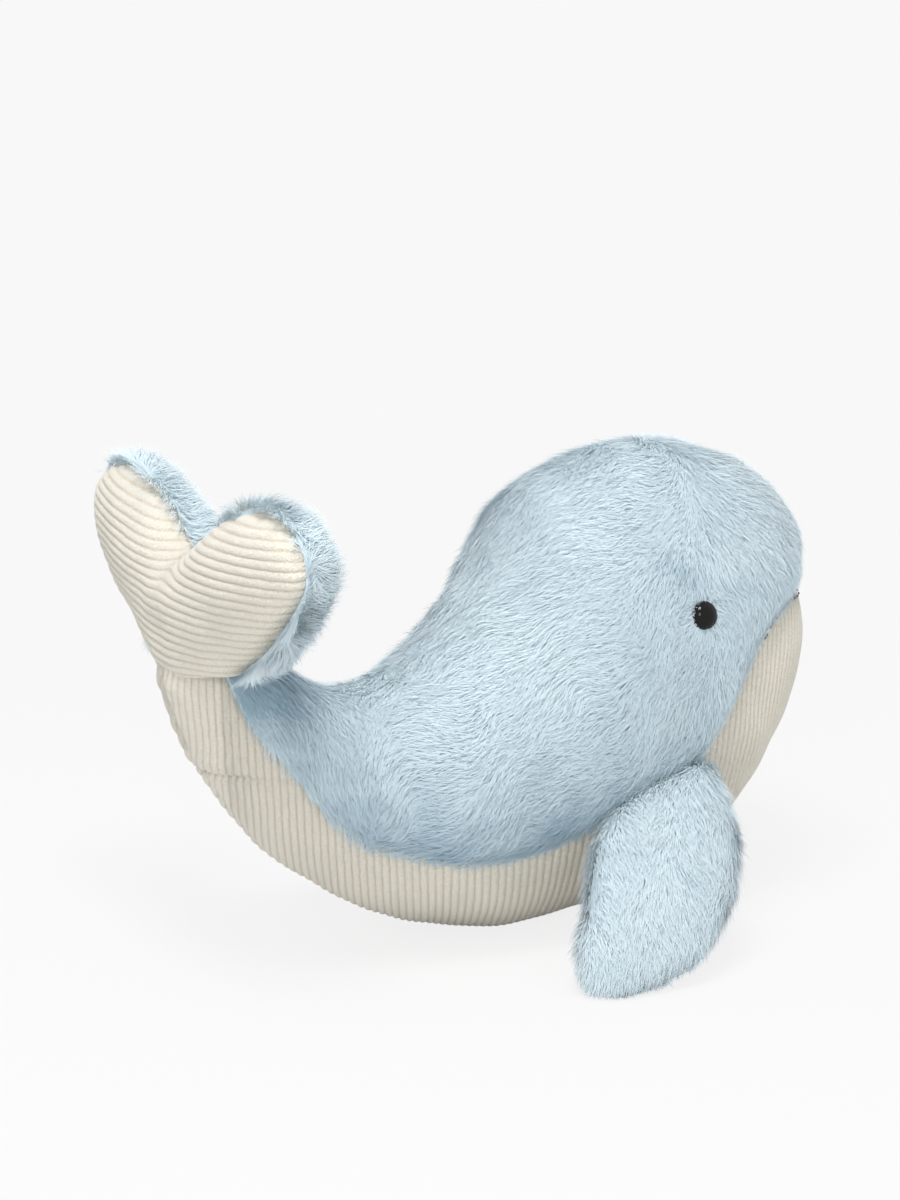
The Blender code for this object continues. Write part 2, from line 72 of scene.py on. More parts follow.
FIN_EDGE_ROW = 0.05
FIN_SEAT_ROW = 5.0
FIN_SEAT_SHARE = 0.59
EYE_ROW = 3.95
EYE_SHARE = 0.377
EYE_DIAMETER = 0.012
EYE_DOME_HEIGHT = 0.0052
EYE_RIM = 0.0010
EYE_SINK = 0.0018
EYE_STEM_DIAMETER = 0.0045
EYE_STEM_LENGTH = 0.0135
MOUTH_END_ROW = 3.0
MOUTH_DROP = 0.0020
SLOPE_STEP = 0.001
SIDES = (("right", 1), ("left", -1))

BODY_SECTION_SHARES = [
    (0.990, 0.711, 0.990, 0.711, 0.00, 0.49),
    (0.979, 0.809, 0.984, 0.602, 0.43, 0.47),
    (0.931, 0.903, 0.953, 0.364, 0.76, 0.41),
    (0.830, 0.995, 0.876, 0.172, 0.94, 0.45),
    (0.710, 1.000, 0.784, 0.047, 1.00, 0.55),
    (0.605, 0.939, 0.684, 0.019, 1.00, 0.59),
    (0.546, 0.804, 0.577, 0.008, 0.95, 0.59),
    (0.471, 0.664, 0.457, 0.019, 0.85, 0.60),
    (0.371, 0.566, 0.330, 0.073, 0.72, 0.585),
    (0.275, 0.545, 0.189, 0.213, 0.58, 0.585),
    (0.203, 0.587, 0.096, 0.374, 0.46, 0.54),
    (0.155, 0.644, 0.038, 0.514, 0.38, 0.53),
    (0.124, 0.716, 0.000, 0.659, 0.33, 0.515),
    (0.107, 0.804, -0.017, 0.758, 0.30, 0.50),
]
FLUKE_HALF_SHARES = [
    (1.000, 0.74, 0.74, 0.00),
    (0.955, 0.90, 0.60, 0.38),
    (0.800, 1.00, 0.38, 0.68),
    (0.610, 1.00, 0.17, 0.86),
    (0.420, 0.93, 0.02, 0.94),
    (0.210, 0.80, -0.19, 0.98),
    (0.000, 0.58, -0.35, 1.00),
]
FIN_SHARES = [
    (-0.440, 0.62, 0.62, 0.00),
    (-0.415, 0.42, 0.74, 0.45),
    (-0.340, 0.08, 0.84, 0.78),
    (-0.190, 0.01, 0.93, 0.94),
    (0.000, 0.00, 0.98, 1.00),
    (0.180, 0.00, 1.01, 1.00),
    (0.340, 0.03, 1.01, 0.92),
    (0.470, 0.26, 0.96, 0.76),
    (0.545, 0.48, 0.86, 0.45),
    (0.570, 0.68, 0.68, 0.00),
]

# Corduroy: one wale, how deep its groove is, and where across a wale the cloth is sampled
WALE_PITCH = 0.0032
WALE_RELIEF = 0.00074
WALE_ROUNDNESS = 2.1
WALE_SAMPLES = (0.0, 0.12, 0.30, 0.50, 0.70, 0.88)
CORD_DEPTH = 0.0012
SEAM_DIP = 0.0010
SEAM_DIP_WIDTH = 0.0035
TUCK_DEPTH = 0.0030
TAIL_END_DIP = 0.0050
WALE_WANDER = 0.00007
WALE_WANDER_SPAN = 0.0055
TAIL_GRAIN_TURN = 0.60
TAIL_GRAIN_APEX = 0.014
TAIL_GRAIN_SOFTNESS = 0.0012
WEB_RISE = 0.0040
FLOOR_SOFTNESS = 0.0014

# Seeds of the uneven filling
BODY_SWELL = 11
FLUKE_SWELL = 21
FIN_SWELL = 31

# Pile: where the strands are rooted over the stuffing, and how long and wide one is
PILE_ROOT_DEPTH = 0.0043
PILE_SEAM_DIP = 0.0024
PILE_DIP_WIDTH = 0.0045
RIM_DIP = 0.0015
PILE_LENGTH = 0.0088
PILE_WIDTH = 0.00024
CLUMP_SIZE = 0.0030
CLUMP_PULL = 0.15
OWN_SHADE = 0.14
GUARD_LIFT = 0.40
STRAY_LOW = (-0.25, -0.12, -0.34)
STRAY_HIGH = (0.25, 0.18, 0.34)
STRAND_STEPS = ((0.35, 33, 1.0), (0.35, 13, 0.95), (0.30, -1, 0.65))
BACK_ZONES = ((0.03, 3.35), (3.35, 5.3), (5.3, 12.05))
FLUKE_STRANDS = 36000
FIN_STRANDS = 26000
PILE_INPUTS = {
    "Backing": "Geometry",
    "Strand": "Object",
    "Material": "Material",
    "Strands per square metre": "Float",
    "Length": "Float",
    "Width": "Float",
    "Clump size": "Float",
    "Clump pull": "Float",
    "Guard lift": "Float",
    "Seed": "Int",
}
STITCH_INPUTS = {
    "Path": "Geometry",
    "Stitch": "Object",
    "Material": "Material",
    "Spacing": "Float",
    "Length": "Float",
    "Thickness": "Float",
}

# Folds that the stuffing pulls into the fur, fuller places, and a patch of painted shade, as lines of places on
# the skin (Y is the distance from the middle)
BROW_FOLD = [(0.058, 0.053, 0.161), (0.067, 0.0576, 0.154), (0.074, 0.0596, 0.150), (0.083, 0.060, 0.1485),
             (0.092, 0.0595, 0.149)]
NECK_FOLD = [(0.022, 0.0, 0.182), (0.0245, 0.0104, 0.182), (0.0298, 0.0249, 0.1806), (0.0368, 0.0327, 0.1793)]
FOREHEAD = [(0.117, 0.0136, 0.187), (0.125, 0.0171, 0.180), (0.1296, 0.0239, 0.1736), (0.1346, 0.0284, 0.166),
            (0.1375, 0.032, 0.160)]
# The fuller brow stands out, and its pile gets painted light
FULL_BROW = [(0.080, 0.0555, 0.160), (0.102, 0.045, 0.162), (0.122, 0.022, 0.168)]
# Where painted shade lies on the pile under the fluke
PAINTED_SHADE_UNDER_FLUKE = [(-0.128, 0.024, 0.134), (-0.116, 0.020, 0.127), (-0.108, 0.012, 0.122)]
BROW_DEPTH = 0.0044
BROW_WIDTH = 0.0040
NECK_DEPTH = 0.0016
NECK_WIDTH = 0.0040
FULL_BROW_RISE = 0.0016
FULL_BROW_WIDTH = 0.013
FOREHEAD_RISE = 0.0048
FOREHEAD_WIDTH = 0.0150
NOSE_DEPTH = 0.0028
PINCH_HEIGHT = 0.0862
PINCH_DEPTH = 0.0021
PINCH_FULLNESS = 0.0011
SEAM_COMB = 0.85

# The middle of each lobe of the fluke: its distance from the toy's middle, and its height
LOBE_HEART = (0.046, 0.168)

# Where the chest's wales start to follow the nose round, along X
CHEST_START = 0.058

# Camera, from the photograph's angle
CAMERA_PLACE = (-0.52004, -0.84063, 0.36390)
CAMERA_BACK = (-0.50222, -0.83587, 0.22155)
CAMERA_LENS = 73.26
SENSOR_WIDTH = 36.0
PAPER_WHITE = 0.939
PAPER = (PAPER_WHITE, PAPER_WHITE, PAPER_WHITE, 1)

# Colours of the cloth
FUR_ROOT = (0.60, 0.72, 0.78)
FUR_TIP = (0.705, 0.81, 0.86)
FUR_SHADE = (0.565, 0.69, 0.765)
# Painted shade: the colour that strands turn towards where their tone is low, in creases, under the fluke and
# low down
FUR_PAINTED_SHADE = (0.32, 0.46, 0.55)
# Painted light: the paler colour that the strands' back faces are mixed towards, as if light came through them
PAINTED_UNDERSIDE_LIGHT = (0.80, 0.90, 0.94)
# The knitted ground is painted darker than the pile, as shade between the strands
FUR_GROUND_LOW = (0.54, 0.67, 0.74)
FUR_GROUND_HIGH = (0.62, 0.74, 0.80)
CORD_CREST = (0.80, 0.76, 0.665)
CORD_GROOVE = (0.69, 0.62, 0.51)
THREAD_DARK = (0.030, 0.022, 0.020)
THREAD_PALE = (0.11, 0.085, 0.075)

# Studio: each lamp has a name, direction, distance, size, power and colour
WORLD_LIGHT = 0.74
FLOOR_PAPER_SHARE = 0.88
FLOOR_FADE = (0.26, 0.62)
LAMP_AIM = (0.0, 0.0, 0.08)
LAMPS = (
    ("key", (-0.25, -0.30, 0.90), 1.3, 0.42, 11.5, (1.0, 0.985, 0.96)),
    ("fill", (-0.50, -0.75, 0.43), 1.4, 0.38, 3.2, (1.0, 0.99, 0.975)),
)


def smooth_line(values, closed):
    """Returns a smooth function that passes through values at 0, 1, 2 and so on."""
    values = np.asarray(values, float)
    count = len(values)
    matrix = np.eye(count)
    bend = np.zeros_like(values)
    for i in range(count):
        if closed or 0 < i < count - 1:
            before, after = (i - 1) % count, (i + 1) % count
            matrix[i, before] += 1
            matrix[i, i] = 4
            matrix[i, after] += 1
            bend[i] = 6 * (values[before] - 2 * values[i] + values[after])
    bend = np.linalg.solve(matrix, bend)

    def at(place):
        place = np.asarray(place, float)
        place = place % count if closed else np.clip(place, 0, count - 1)
        i = np.minimum(place.astype(int), count - 1 if closed else count - 2)
        j = (i + 1) % count
        b = place - i
        if values.ndim > 1:
            b = b[..., None]
        a = 1 - b
        return a * values[i] + b * values[j] + ((a**3 - a) * bend[i] + (b**3 - b) * bend[j]) / 6

    return at


class Form:
    """A stuffed form of oval sections, as in the frame, for whole grids of places at once."""

    def __init__(self, near, far, half_width, two_ends, axes, place):
        outline = [np.array(p) for p in near]
        width = list(half_width)
        if two_ends:
            outline += [np.array(p) for p in far[-2:0:-1]]
            width += [-w for w in half_width[-2:0:-1]]
            self.middle = 0
        else:
            outline = [np.array(p) for p in far[:0:-1]] + outline
            width = [-w for w in half_width[:0:-1]] + width
            self.middle = len(near) - 1
        self.outline = smooth_line(outline, two_ends)
        self.width = smooth_line(width, two_ends)
        self.axes = np.array(axes, float)
        self.last = len(near) - 1
        self.place = np.array(place, float)

    def own_point(self, row, turn):
        """The place in the form's own frame, at a section row and a turn from its near point."""
        row, turn = np.broadcast_arrays(np.asarray(row, float), np.asarray(turn, float))
        near = self.outline(self.middle + row)
        far = self.outline(self.middle - row)
        flat = (near + far) / 2 + (near - far) / 2 * np.cos(turn * np.pi)[..., None]
        side = self.width(self.middle + row) * np.sin(turn * np.pi)
        return flat[..., :1] * self.axes[0] + flat[..., 1:] * self.axes[1] + side[..., None] * self.axes[2]

    def point(self, row, turn):
        return self.own_point(row, turn) @ self.place[:3, :3].T + self.place[:3, 3]

    def normal(self, row, turn):
        row, turn = np.broadcast_arrays(np.asarray(row, float), np.asarray(turn, float))
        low, high = np.maximum(row - SLOPE_STEP, 0), np.minimum(row + SLOPE_STEP, self.last)
        along = self.point(high, turn) - self.point(low, turn)
        round_it = self.point(row, turn + SLOPE_STEP) - self.point(row, turn - SLOPE_STEP)
        normal = np.cross(along, round_it)
        normal /= np.maximum(np.linalg.norm(normal, axis=-1, keepdims=True), 1e-12)
        heart = (self.point(row, np.zeros_like(turn)) + self.point(row, np.ones_like(turn))) / 2
        outward = np.sum(normal * (self.point(row, turn) - heart), axis=-1, keepdims=True)
        return np.where(outward > 0, normal, -normal)


def bell(distance, width):
    """A smooth share: 1 at no distance, and next to nothing past twice the width."""
    return np.exp(-((distance / width) ** 2))


def place_matrix(x, y, z):
    return np.array(Matrix.Translation((x, y, z)))


def body_form(place):
    near, far, half_width, seam = [], [], [], []
    for back_x, back_z, belly_x, belly_z, width, share in BODY_SECTION_SHARES:
        near.append((back_x * BODY_LENGTH, back_z * BODY_HEIGHT))
        far.append((belly_x * BODY_LENGTH, belly_z * BODY_HEIGHT))
        half_width.append(width * BODY_WIDTH / 2)
        seam.append(share)
    form = Form(near, far, half_width, False, ((1, 0, 0), (0, 0, 1), (0, -1, 0)), place)
    form.seam = smooth_line(seam, False)
    return form


def fluke_form(hinge):
    half = FLUKE_HALF_SHARES
    rows = half + [(-across, top, low, thick) for across, top, low, thick in half[-2::-1]]
    near = [(-a * FLUKE_SPAN / 2, t * FLUKE_HEIGHT) for a, t, _, _ in rows]
    far = [(-a * FLUKE_SPAN / 2, b * FLUKE_HEIGHT) for a, _, b, _ in rows]
    width = [w * FLUKE_THICKNESS / 2 for _, _, _, w in rows]
    return Form(near, far, width, True, ((0, 1, 0), (0, 0, 1), (1, 0, 0)), place_matrix(*hinge))


def fin_form(body, sign):
    """A fin in the frame of its hinge: the root along X, the fur face towards +Z."""
    cos_rise, sin_rise = math.cos(FIN_ROOT_RISE), math.sin(FIN_ROOT_RISE)
    cos_spread, sin_spread = math.cos(FIN_SPREAD), math.sin(FIN_SPREAD)
    x_axis = np.array((cos_rise, 0, sin_rise))
    z_axis = np.array((-sin_rise * sin_spread, -sign * cos_spread, cos_rise * sin_spread))
    place = np.eye(4)
    place[:3, :3] = np.stack([x_axis, np.cross(z_axis, x_axis), z_axis], axis=1)
    stand_off = FUR_THICKNESS + SEAM_GAP * 2
    seat = (FIN_SEAT_ROW, sign * FIN_SEAT_SHARE)
    place[:3, 3] = body.point(*seat) + body.normal(*seat) * stand_off
    near, far, width = [], [], []
    for across, root, tip, thick in FIN_SHARES:
        for line, share in ((near, root), (far, tip)):
            length = share * FIN_LENGTH
            line.append((across * FIN_WIDTH - length * math.sin(FIN_SWEEP), -length * math.cos(FIN_SWEEP)))
        width.append(thick * FIN_THICKNESS / 2)
    return Form(near, far, width, True, ((1, 0, 0), (0, sign, 0), (0, 0, 1)), place)


def drift(points, span, seed):
    """A smooth random value, mostly between -1 and 1, that changes over this span."""
    chance = np.random.default_rng(seed)
    total = np.zeros(points.shape[:-1])
    for _ in range(7):
        heading = chance.normal(size=3)
        heading *= 2 * math.pi / span * chance.uniform(0.55, 1.3) / np.linalg.norm(heading)
        total += np.sin(points @ heading + chance.uniform(0, 2 * math.pi))
    return total / 2.6


def unit(vectors):
    return vectors / np.maximum(np.linalg.norm(vectors, axis=-1, keepdims=True), 1e-12)


def tangent_part(vectors, normals):
    return unit(vectors - normals * np.sum(vectors * normals, axis=-1, keepdims=True))


def turned_about(vectors, normals, angles):
    """Each vector turned about its normal."""
    cos, sin = np.cos(angles)[..., None], np.sin(angles)[..., None]
    return vectors * cos + np.cross(normals, vectors) * sin


def smooth_step(value, low, high):
    share = np.clip((value - low) / (high - low), 0, 1)
    return share * share * (3 - 2 * share)


def grid_mesh(name, points, normals, layers=None, fields=None):
    """A mesh through a grid of points that faces the way of the normals, with UV layers and point fields."""
    rows, columns = points.shape[:2]
    index = np.arange(rows * columns).reshape(rows, columns)
    quads = np.stack([index[:-1, :-1], index[1:, :-1], index[1:, 1:], index[:-1, 1:]], axis=-1).reshape(-1, 4)
    flat, facing = points.reshape(-1, 3), normals.reshape(-1, 3)
    face_normals = np.cross(flat[quads[:, 2]] - flat[quads[:, 0]], flat[quads[:, 3]] - flat[quads[:, 1]])
    if np.sum(face_normals * facing[quads[:, 0]]) < 0:
        quads = quads[:, ::-1]
    mesh = bpy.data.meshes.new(name)
    mesh.vertices.add(len(flat))
    mesh.vertices.foreach_set("co", flat.astype(np.float32).ravel())
    mesh.loops.add(quads.size)
    mesh.loops.foreach_set("vertex_index", quads.astype(np.int32).ravel())
    mesh.polygons.add(len(quads))
    mesh.polygons.foreach_set("loop_start", np.arange(0, quads.size, 4, dtype=np.int32))
    mesh.update(calc_edges=True)
    for layer, values in (layers or {}).items():
        mesh.uv_layers.new(name=layer).data.foreach_set(
            "uv", values.reshape(-1, 2)[quads.ravel()].astype(np.float32).ravel()
        )
    for field, values in (fields or {}).items():
        kind = "FLOAT_VECTOR" if values.ndim == 3 else "FLOAT"
        attribute = mesh.attributes.new(field, kind, "POINT")
        attribute.data.foreach_set("vector" if values.ndim == 3 else "value", values.astype(np.float32).ravel())
    bm = bmesh.new()
    bm.from_mesh(mesh)
    bmesh.ops.remove_doubles(bm, verts=bm.verts, dist=0.00002)
    bm.to_mesh(mesh)
    bm.free()
    mesh.shade_smooth()
    return mesh


def new_piece(name, mesh, material):
    piece = bpy.data.objects.new(name, mesh)
    if material is not None:
        mesh.materials.clear()
        mesh.materials.append(material)
    bpy.context.scene.collection.objects.link(piece)
    return piece


def smooth_mesh(name, bm):
    """A mesh with smooth shading from a closed shape."""
    bmesh.ops.recalc_face_normals(bm, faces=bm.faces)
    mesh = bpy.data.meshes.new(name)
    bm.to_mesh(mesh)
    bm.free()
    mesh.shade_smooth()
    return mesh


def ends_repeated(grid, axis):
    """A grid with its first and its last line once more, for edges that are tucked in."""
    count = grid.shape[axis]
    return np.take(grid, [0, *range(count), count - 1], axis=axis)


def rest_on_floor(points):
    """Lets the cloth lie flat, with a soft edge, where it would go below the floor."""
    height = points[..., 2]
    above = (height + np.sqrt(height * height + FLOOR_SOFTNESS**2)) / 2
    points[..., 2] = above * smooth_step(height, -0.004, 0.0002) + 0.00005
    return points


def way_to_line(points, line):
    """The way from each place to the nearest of a line of places. Both sides of the toy use the same line."""
    folded = points.copy()
    folded[..., 1] = np.abs(folded[..., 1])
    way = np.full(points.shape, 1.0)
    for start, end in zip(line, line[1:]):
        start, reach = np.array(start), np.array(end) - np.array(start)
        share = np.clip((folded - start) @ reach / (reach @ reach), 0, 1)
        step = start + share[..., None] * reach - folded
        closer = np.linalg.norm(step, axis=-1) < np.linalg.norm(way, axis=-1)
        way = np.where(closer[..., None], step, way)
    way[..., 1] = np.where(points[..., 1] < 0, -way[..., 1], way[..., 1])
    return way


def line_distance(points, line):
    return np.linalg.norm(way_to_line(points, line), axis=-1)


def near_line(points, line, width):
    return bell(line_distance(points, line), width)


def brow_crease(points, width):
    """The crease above the right eye. The other side's brow is taken as smooth."""
    return near_line(points, BROW_FOLD, width) * (points[..., 1] < 0)


def fur_folds(points):
    """How far the fur's ground is drawn in at the brow and the neck, and stands out above the brow."""
    brow = BROW_DEPTH * brow_crease(points, BROW_WIDTH)
    neck = NECK_DEPTH * near_line(points, NECK_FOLD, NECK_WIDTH)
    full = FULL_BROW_RISE * near_line(points, FULL_BROW, FULL_BROW_WIDTH)
    ahead = FOREHEAD_RISE * near_line(points, FOREHEAD, FOREHEAD_WIDTH)
    low = 1 - smooth_step(points[..., 2], 0.146, 0.158)
    nose = NOSE_DEPTH * smooth_step(points[..., 0], 0.120, 0.136) * low
    return brow + neck + nose - full - ahead


def soft_swell(points, seed):
    """How far stuffed cloth stands out or in at each place, from uneven filling."""
    return 0.0007 * drift(points, 0.060, seed) + 0.0003 * drift(points, 0.022, seed + 1)


# Corduroy


def wale_height(wale):
    """The cloth's height across its wales: wide round crests and narrow grooves."""
    across = np.abs(2 * (wale / WALE_PITCH % 1) - 1)
    return WALE_RELIEF * (1 - across**WALE_ROUNDNESS)


def wale_steps(low, high):
    """Sample places across every wale from low to high."""
    first, last = math.floor(low / WALE_PITCH), math.ceil(high / WALE_PITCH)
    steps = [(n + share) * WALE_PITCH for n in range(first, last + 1) for share in WALE_SAMPLES]
    return np.array([s for s in steps if low - WALE_PITCH < s < high + WALE_PITCH])


def follow_wales(fine, wales, steps):
    """For each column of a table of wale values on fine places, the place of each step, and its wale value."""
    places = np.empty((len(steps), wales.shape[1]))
    values = np.empty_like(places)
    for j in range(wales.shape[1]):
        rising = wales[-1, j] > wales[0, j]
        line = wales[:, j] if rising else wales[::-1, j]
        line = np.maximum.accumulate(line)
        places[:, j] = np.interp(steps, line, fine if rising else fine[::-1])
        values[:, j] = np.clip(steps, line[0], line[-1])
    return places, values


def seam_dip(lengths):
    """How far cloth is drawn in beside its seams, from its distances to them."""
    return SEAM_DIP * sum(bell(length, SEAM_DIP_WIDTH) for length in lengths)


def cord_mesh(name, form, rows, turns, wales, dip, seed):
    """A corduroy skin through a grid of places, whose edges dip into the seams and tuck in behind them."""
    points, normals = form.point(rows, turns), form.normal(rows, turns)
    depth = CORD_DEPTH + wale_height(wales) + soft_swell(points, seed) - dip
    skin = points + normals * depth[..., None]
    along = distances_along(points)[0]
    cloth = np.stack([wales / WALE_PITCH, along / WALE_PITCH], axis=-1)
    tucked = points - normals * TUCK_DEPTH
    grid = np.concatenate([tucked[:, :1], skin, tucked[:, -1:]], axis=1)
    return grid_mesh(name, rest_on_floor(grid), ends_repeated(normals, 1), {"cloth": ends_repeated(cloth, 1)})


def distances_along(points):
    """Each place's distance to the first and to the last place of its line."""
    steps = np.linalg.norm(np.diff(points, axis=1), axis=-1)
    along = np.concatenate([np.zeros((len(points), 1)), np.cumsum(steps, axis=1)], axis=1)
    return along, along[:, -1:] - along


def belly_turns(body, rows, shares, sign):
    """Turns from the seam, where the share is 0, to the middle of the belly."""
    seam = body.seam(rows)
    return sign * (seam + shares[None, :] * (1 - seam))


def belly_wales(points, shares):
    """How far each place is across the wales: they run down the sides, beside the seam round the chest, and
    slant over the tail."""
    edge, middle = points[:, 0], points[:, -1]
    pace = np.linalg.norm(np.diff(edge[:, :2], axis=0), axis=1)
    ahead = edge[:, 0] > CHEST_START
    round_nose = np.zeros(len(edge))
    round_nose[:-1] = np.cumsum((pace * ahead[:-1])[::-1])[::-1]
    edge_wale = np.where(ahead, CHEST_START + round_nose, edge[:, 0])
    spare = edge_wale[0] - middle[0, 0]
    nose = middle[0, 0] - CHEST_START
    middle_wale = middle[:, 0] + spare * (np.maximum(middle[:, 0] - CHEST_START, 0) / nose) ** 2
    wales = points[..., 0] + (1 - shares) * (edge_wale - edge[:, 0])[:, None]
    wales = wales + shares * (middle_wale - middle[:, 0])[:, None]
    half_width = np.abs(edge[:, 1])[:, None]
    turned = TAIL_GRAIN_TURN - 0.25 * smooth_step(points[..., 0], -0.070, 0.020)
    turned = turned - 0.35 * smooth_step(points[..., 0], 0.020, 0.080)
    across = np.sqrt((points[..., 1] - TAIL_GRAIN_APEX) ** 2 + TAIL_GRAIN_SOFTNESS**2) - TAIL_GRAIN_APEX
    return wales + turned * (across - 0.6 * half_width) + WALE_WANDER * drift(points, WALE_WANDER_SPAN, 71)


def belly_cord(body, side, sign):
    """One side of the belly, from the nose to a little past the fluke's seam."""
    fine = np.linspace(NOSE_START_ROW, TAIL_END_ROW, 1500)
    shares = np.linspace(0, 1, 64)
    wales = belly_wales(body.point(fine[:, None], belly_turns(body, fine[:, None], shares, sign)), shares)
    rows, values = follow_wales(fine, wales, wale_steps(wales.min(), wales.max()))
    turns = belly_turns(body, rows, shares, sign)
    points = body.point(rows, turns)
    dip = seam_dip(distances_along(points)) + tail_pinch(points)
    dip = dip + TAIL_END_DIP * smooth_step(rows, FLUKE_SEAM_ROW - 0.28, TAIL_END_ROW)
    return cord_mesh(f"belly_cord_{side}", body, rows, turns, values, dip, BODY_SWELL)


def tail_pinch(points):
    """A crease in the tail's corduroy, where the stuffed tail bends, with the cloth full above it."""
    height = points[..., 2] - PINCH_HEIGHT
    there = smooth_step(-points[..., 0], 0.085, 0.108) * (1 - smooth_step(points[..., 1], 0.002, 0.014))
    there = there * (1 - 0.8 * smooth_step(-points[..., 1], 0.014, 0.030))
    crease = PINCH_DEPTH * bell(height, 0.0013) - PINCH_FULLNESS * bell(height - 0.006, 0.0045)
    return crease * there


def fluke_seam_turn(fluke, rows, tilt, sign):
    """The turn at which each of the fluke's sections meets the seam's plane, or its far rim."""
    fine = np.linspace(0, 1, 400)
    points = fluke.own_point(rows[None, :], sign * fine[:, None])
    above = points[..., 2] - points[..., 0] * math.tan(tilt) > 0
    return np.where(above.all(0), 1.0, fine[np.argmin(above, axis=0)])


def fluke_rows(count):
    """Rows over the fluke from one outer edge round to the other, closer together towards both."""
    return 6 - 6 * np.cos(np.linspace(0.02, 0.98, count) * math.pi)


def fluke_base(points, normals, hinge, at_seam):
    """Lines that close a fluke panel below: inwards where it meets the tail, and under the rim elsewhere."""
    inwards = points.copy()
    inwards[..., 0] = hinge[0] + (points[..., 0] - hinge[0]) * 0.5
    inwards[..., 1] = points[..., 1] * 0.5
    inwards[..., 2] -= 0.0010
    return np.where(at_seam[..., None], inwards, points - normals * TUCK_DEPTH)


def fluke_wales(own):
    """How far each place is across the wales, which run across both lobes and rise a little outwards."""
    lean = 0.11 + 0.05 * np.tanh(own[..., 1] / 0.02)
    wales = own[..., 2] - lean * (np.sqrt(own[..., 1] ** 2 + 0.012**2) - 0.012)
    return wales + WALE_WANDER * drift(own, WALE_WANDER_SPAN, 72)


def fluke_cord(fluke, tilt, hinge):
    """The fluke's rear face."""
    rows = fluke_rows(150)
    ends = fluke_seam_turn(fluke, rows, tilt, -1)
    shares = np.linspace(0, 1, 500)
    wales = fluke_wales(fluke.own_point(rows[None, :], -(ends[None, :] * shares[:, None])))
    places, values = follow_wales(shares, wales, wale_steps(wales.min(), wales.max()))
    turns = -places * ends[None, :]
    row_grid = np.broadcast_to(rows[None, :], turns.shape)
    points, normals = fluke.point(row_grid, turns), fluke.normal(row_grid, turns)
    rim = np.minimum(
        np.linalg.norm(points - fluke.point(rows, 0 * rows)[None], axis=-1),
        np.linalg.norm(points - fluke.point(rows, -ends)[None], axis=-1),
    )
    swell = soft_swell(points, FLUKE_SWELL)
    depth = CORD_DEPTH + wale_height(values) + swell - SEAM_DIP * bell(rim, SEAM_DIP_WIDTH)
    depth = depth + fluke_web(points)
    skin = points + normals * depth[..., None]
    across = np.broadcast_to(points[..., 1] / WALE_PITCH, values.shape)
    cloth = np.stack([values / WALE_PITCH, across], axis=-1)
    low = fluke_base(skin[:1], normals[:1], hinge, (ends < 1)[None, :])
    high = points[-1:] - normals[-1:] * TUCK_DEPTH
    grid = np.concatenate([low, skin, high])
    return grid_mesh("fluke_cord", grid, ends_repeated(normals, 0), {"cloth": ends_repeated(cloth, 0)})


def fluke_web(points):
    """How the corduroy spans the fold down the middle of the fluke, below its notch."""
    return WEB_RISE * bell(points[..., 1], 0.012) * smooth_step(points[..., 2], 0.143, 0.160)


def fin_rows(fin, count):
    """Rows over the fin, from just past its root edge to just before the other."""
    return np.linspace(FIN_EDGE_ROW, fin.last - FIN_EDGE_ROW, count)


def fin_cord(fin, side):
    """A fin's inner face, with its wales along the fin."""
    fine = fin_rows(fin, 700)
    shares = np.linspace(0, 1, 56)
    own = fin.own_point(fine[:, None], -shares[None, :])
    wales = own[..., 0] + np.abs(own[..., 1]) * math.tan(FIN_SWEEP)
    rows, values = follow_wales(fine, wales, wale_steps(wales.min(), wales.max()))
    turns = -np.broadcast_to(shares[None, :], rows.shape)
    dip = seam_dip(distances_along(fin.point(rows, turns)))
    return cord_mesh(f"fin_cord_{side}", fin, rows, turns, values, dip, FIN_SWELL)


# Backing of the pile


def fur_depth(form, rows, turns, edges, seed, dip):
    """The places on the stuffing, and how far the pile's ground lies over them: less beside a seam."""
    points = form.point(rows, turns)
    depth = PILE_ROOT_DEPTH + soft_swell(points, seed)
    for edge in edges:
        distance = np.linalg.norm(points - form.point(rows, edge), axis=-1)
        depth = depth - dip * bell(distance, PILE_DIP_WIDTH)
    return points, depth


def skin_fields(fields, skin, normals):
    """The values of each field at each place, and the way that the ground faces there."""
    made = {key: make(skin, normals) for key, make in (fields or {}).items()}
    if fields:
        made["ground"] = normals
    return made


def backing(name, form, rows, turns, edges, seed, material=None, fields=None, folds=None):
    """The knitted ground that the pile grows from. A skin to be seen is tucked in at its edges."""
    points, depth = fur_depth(form, rows, turns, edges, seed, PILE_SEAM_DIP if folds else RIM_DIP)
    normals = form.normal(rows, turns)
    if folds is not None:
        depth = depth - folds(points)
    skin = rest_on_floor(points + normals * depth[..., None])
    if fields is None:
        tucked = points - normals * TUCK_DEPTH
        skin = np.concatenate([tucked[:, :1], skin, tucked[:, -1:]], axis=1)
        normals = ends_repeated(normals, 1)
    return new_piece(name, grid_mesh(name, skin, normals, None, skin_fields(fields, skin, normals)), material)


def fluke_backing(name, fluke, tilt, hinge, material, fields=None):
    """The ground of the fluke's front face, open below where the tail comes in."""
    rows = fluke_rows(64)
    ends = fluke_seam_turn(fluke, rows, tilt, 1)
    past = 0 if fields is None else 0.055
    shares = np.linspace(-past, 1 + past, 40)[:, None]
    turns = np.where(ends[None, :] < 1, np.minimum(shares, 1) * ends[None, :], shares)
    row_grid = np.broadcast_to(rows[None, :], turns.shape)
    edges = (0 * ends[None, :], ends[None, :])
    points, depth = fur_depth(fluke, row_grid, turns, edges, FLUKE_SWELL, RIM_DIP)
    normals = fluke.normal(row_grid, turns)
    skin = points + normals * depth[..., None]
    if fields is None:
        low = fluke_base(skin[-1:], normals[-1:], hinge, (ends < 1)[None, :])
        skin = np.concatenate([points[:1] - normals[:1] * TUCK_DEPTH, skin, low])
        normals = ends_repeated(normals, 0)
    return new_piece(name, grid_mesh(name, skin, normals, None, skin_fields(fields, skin, normals)), material)


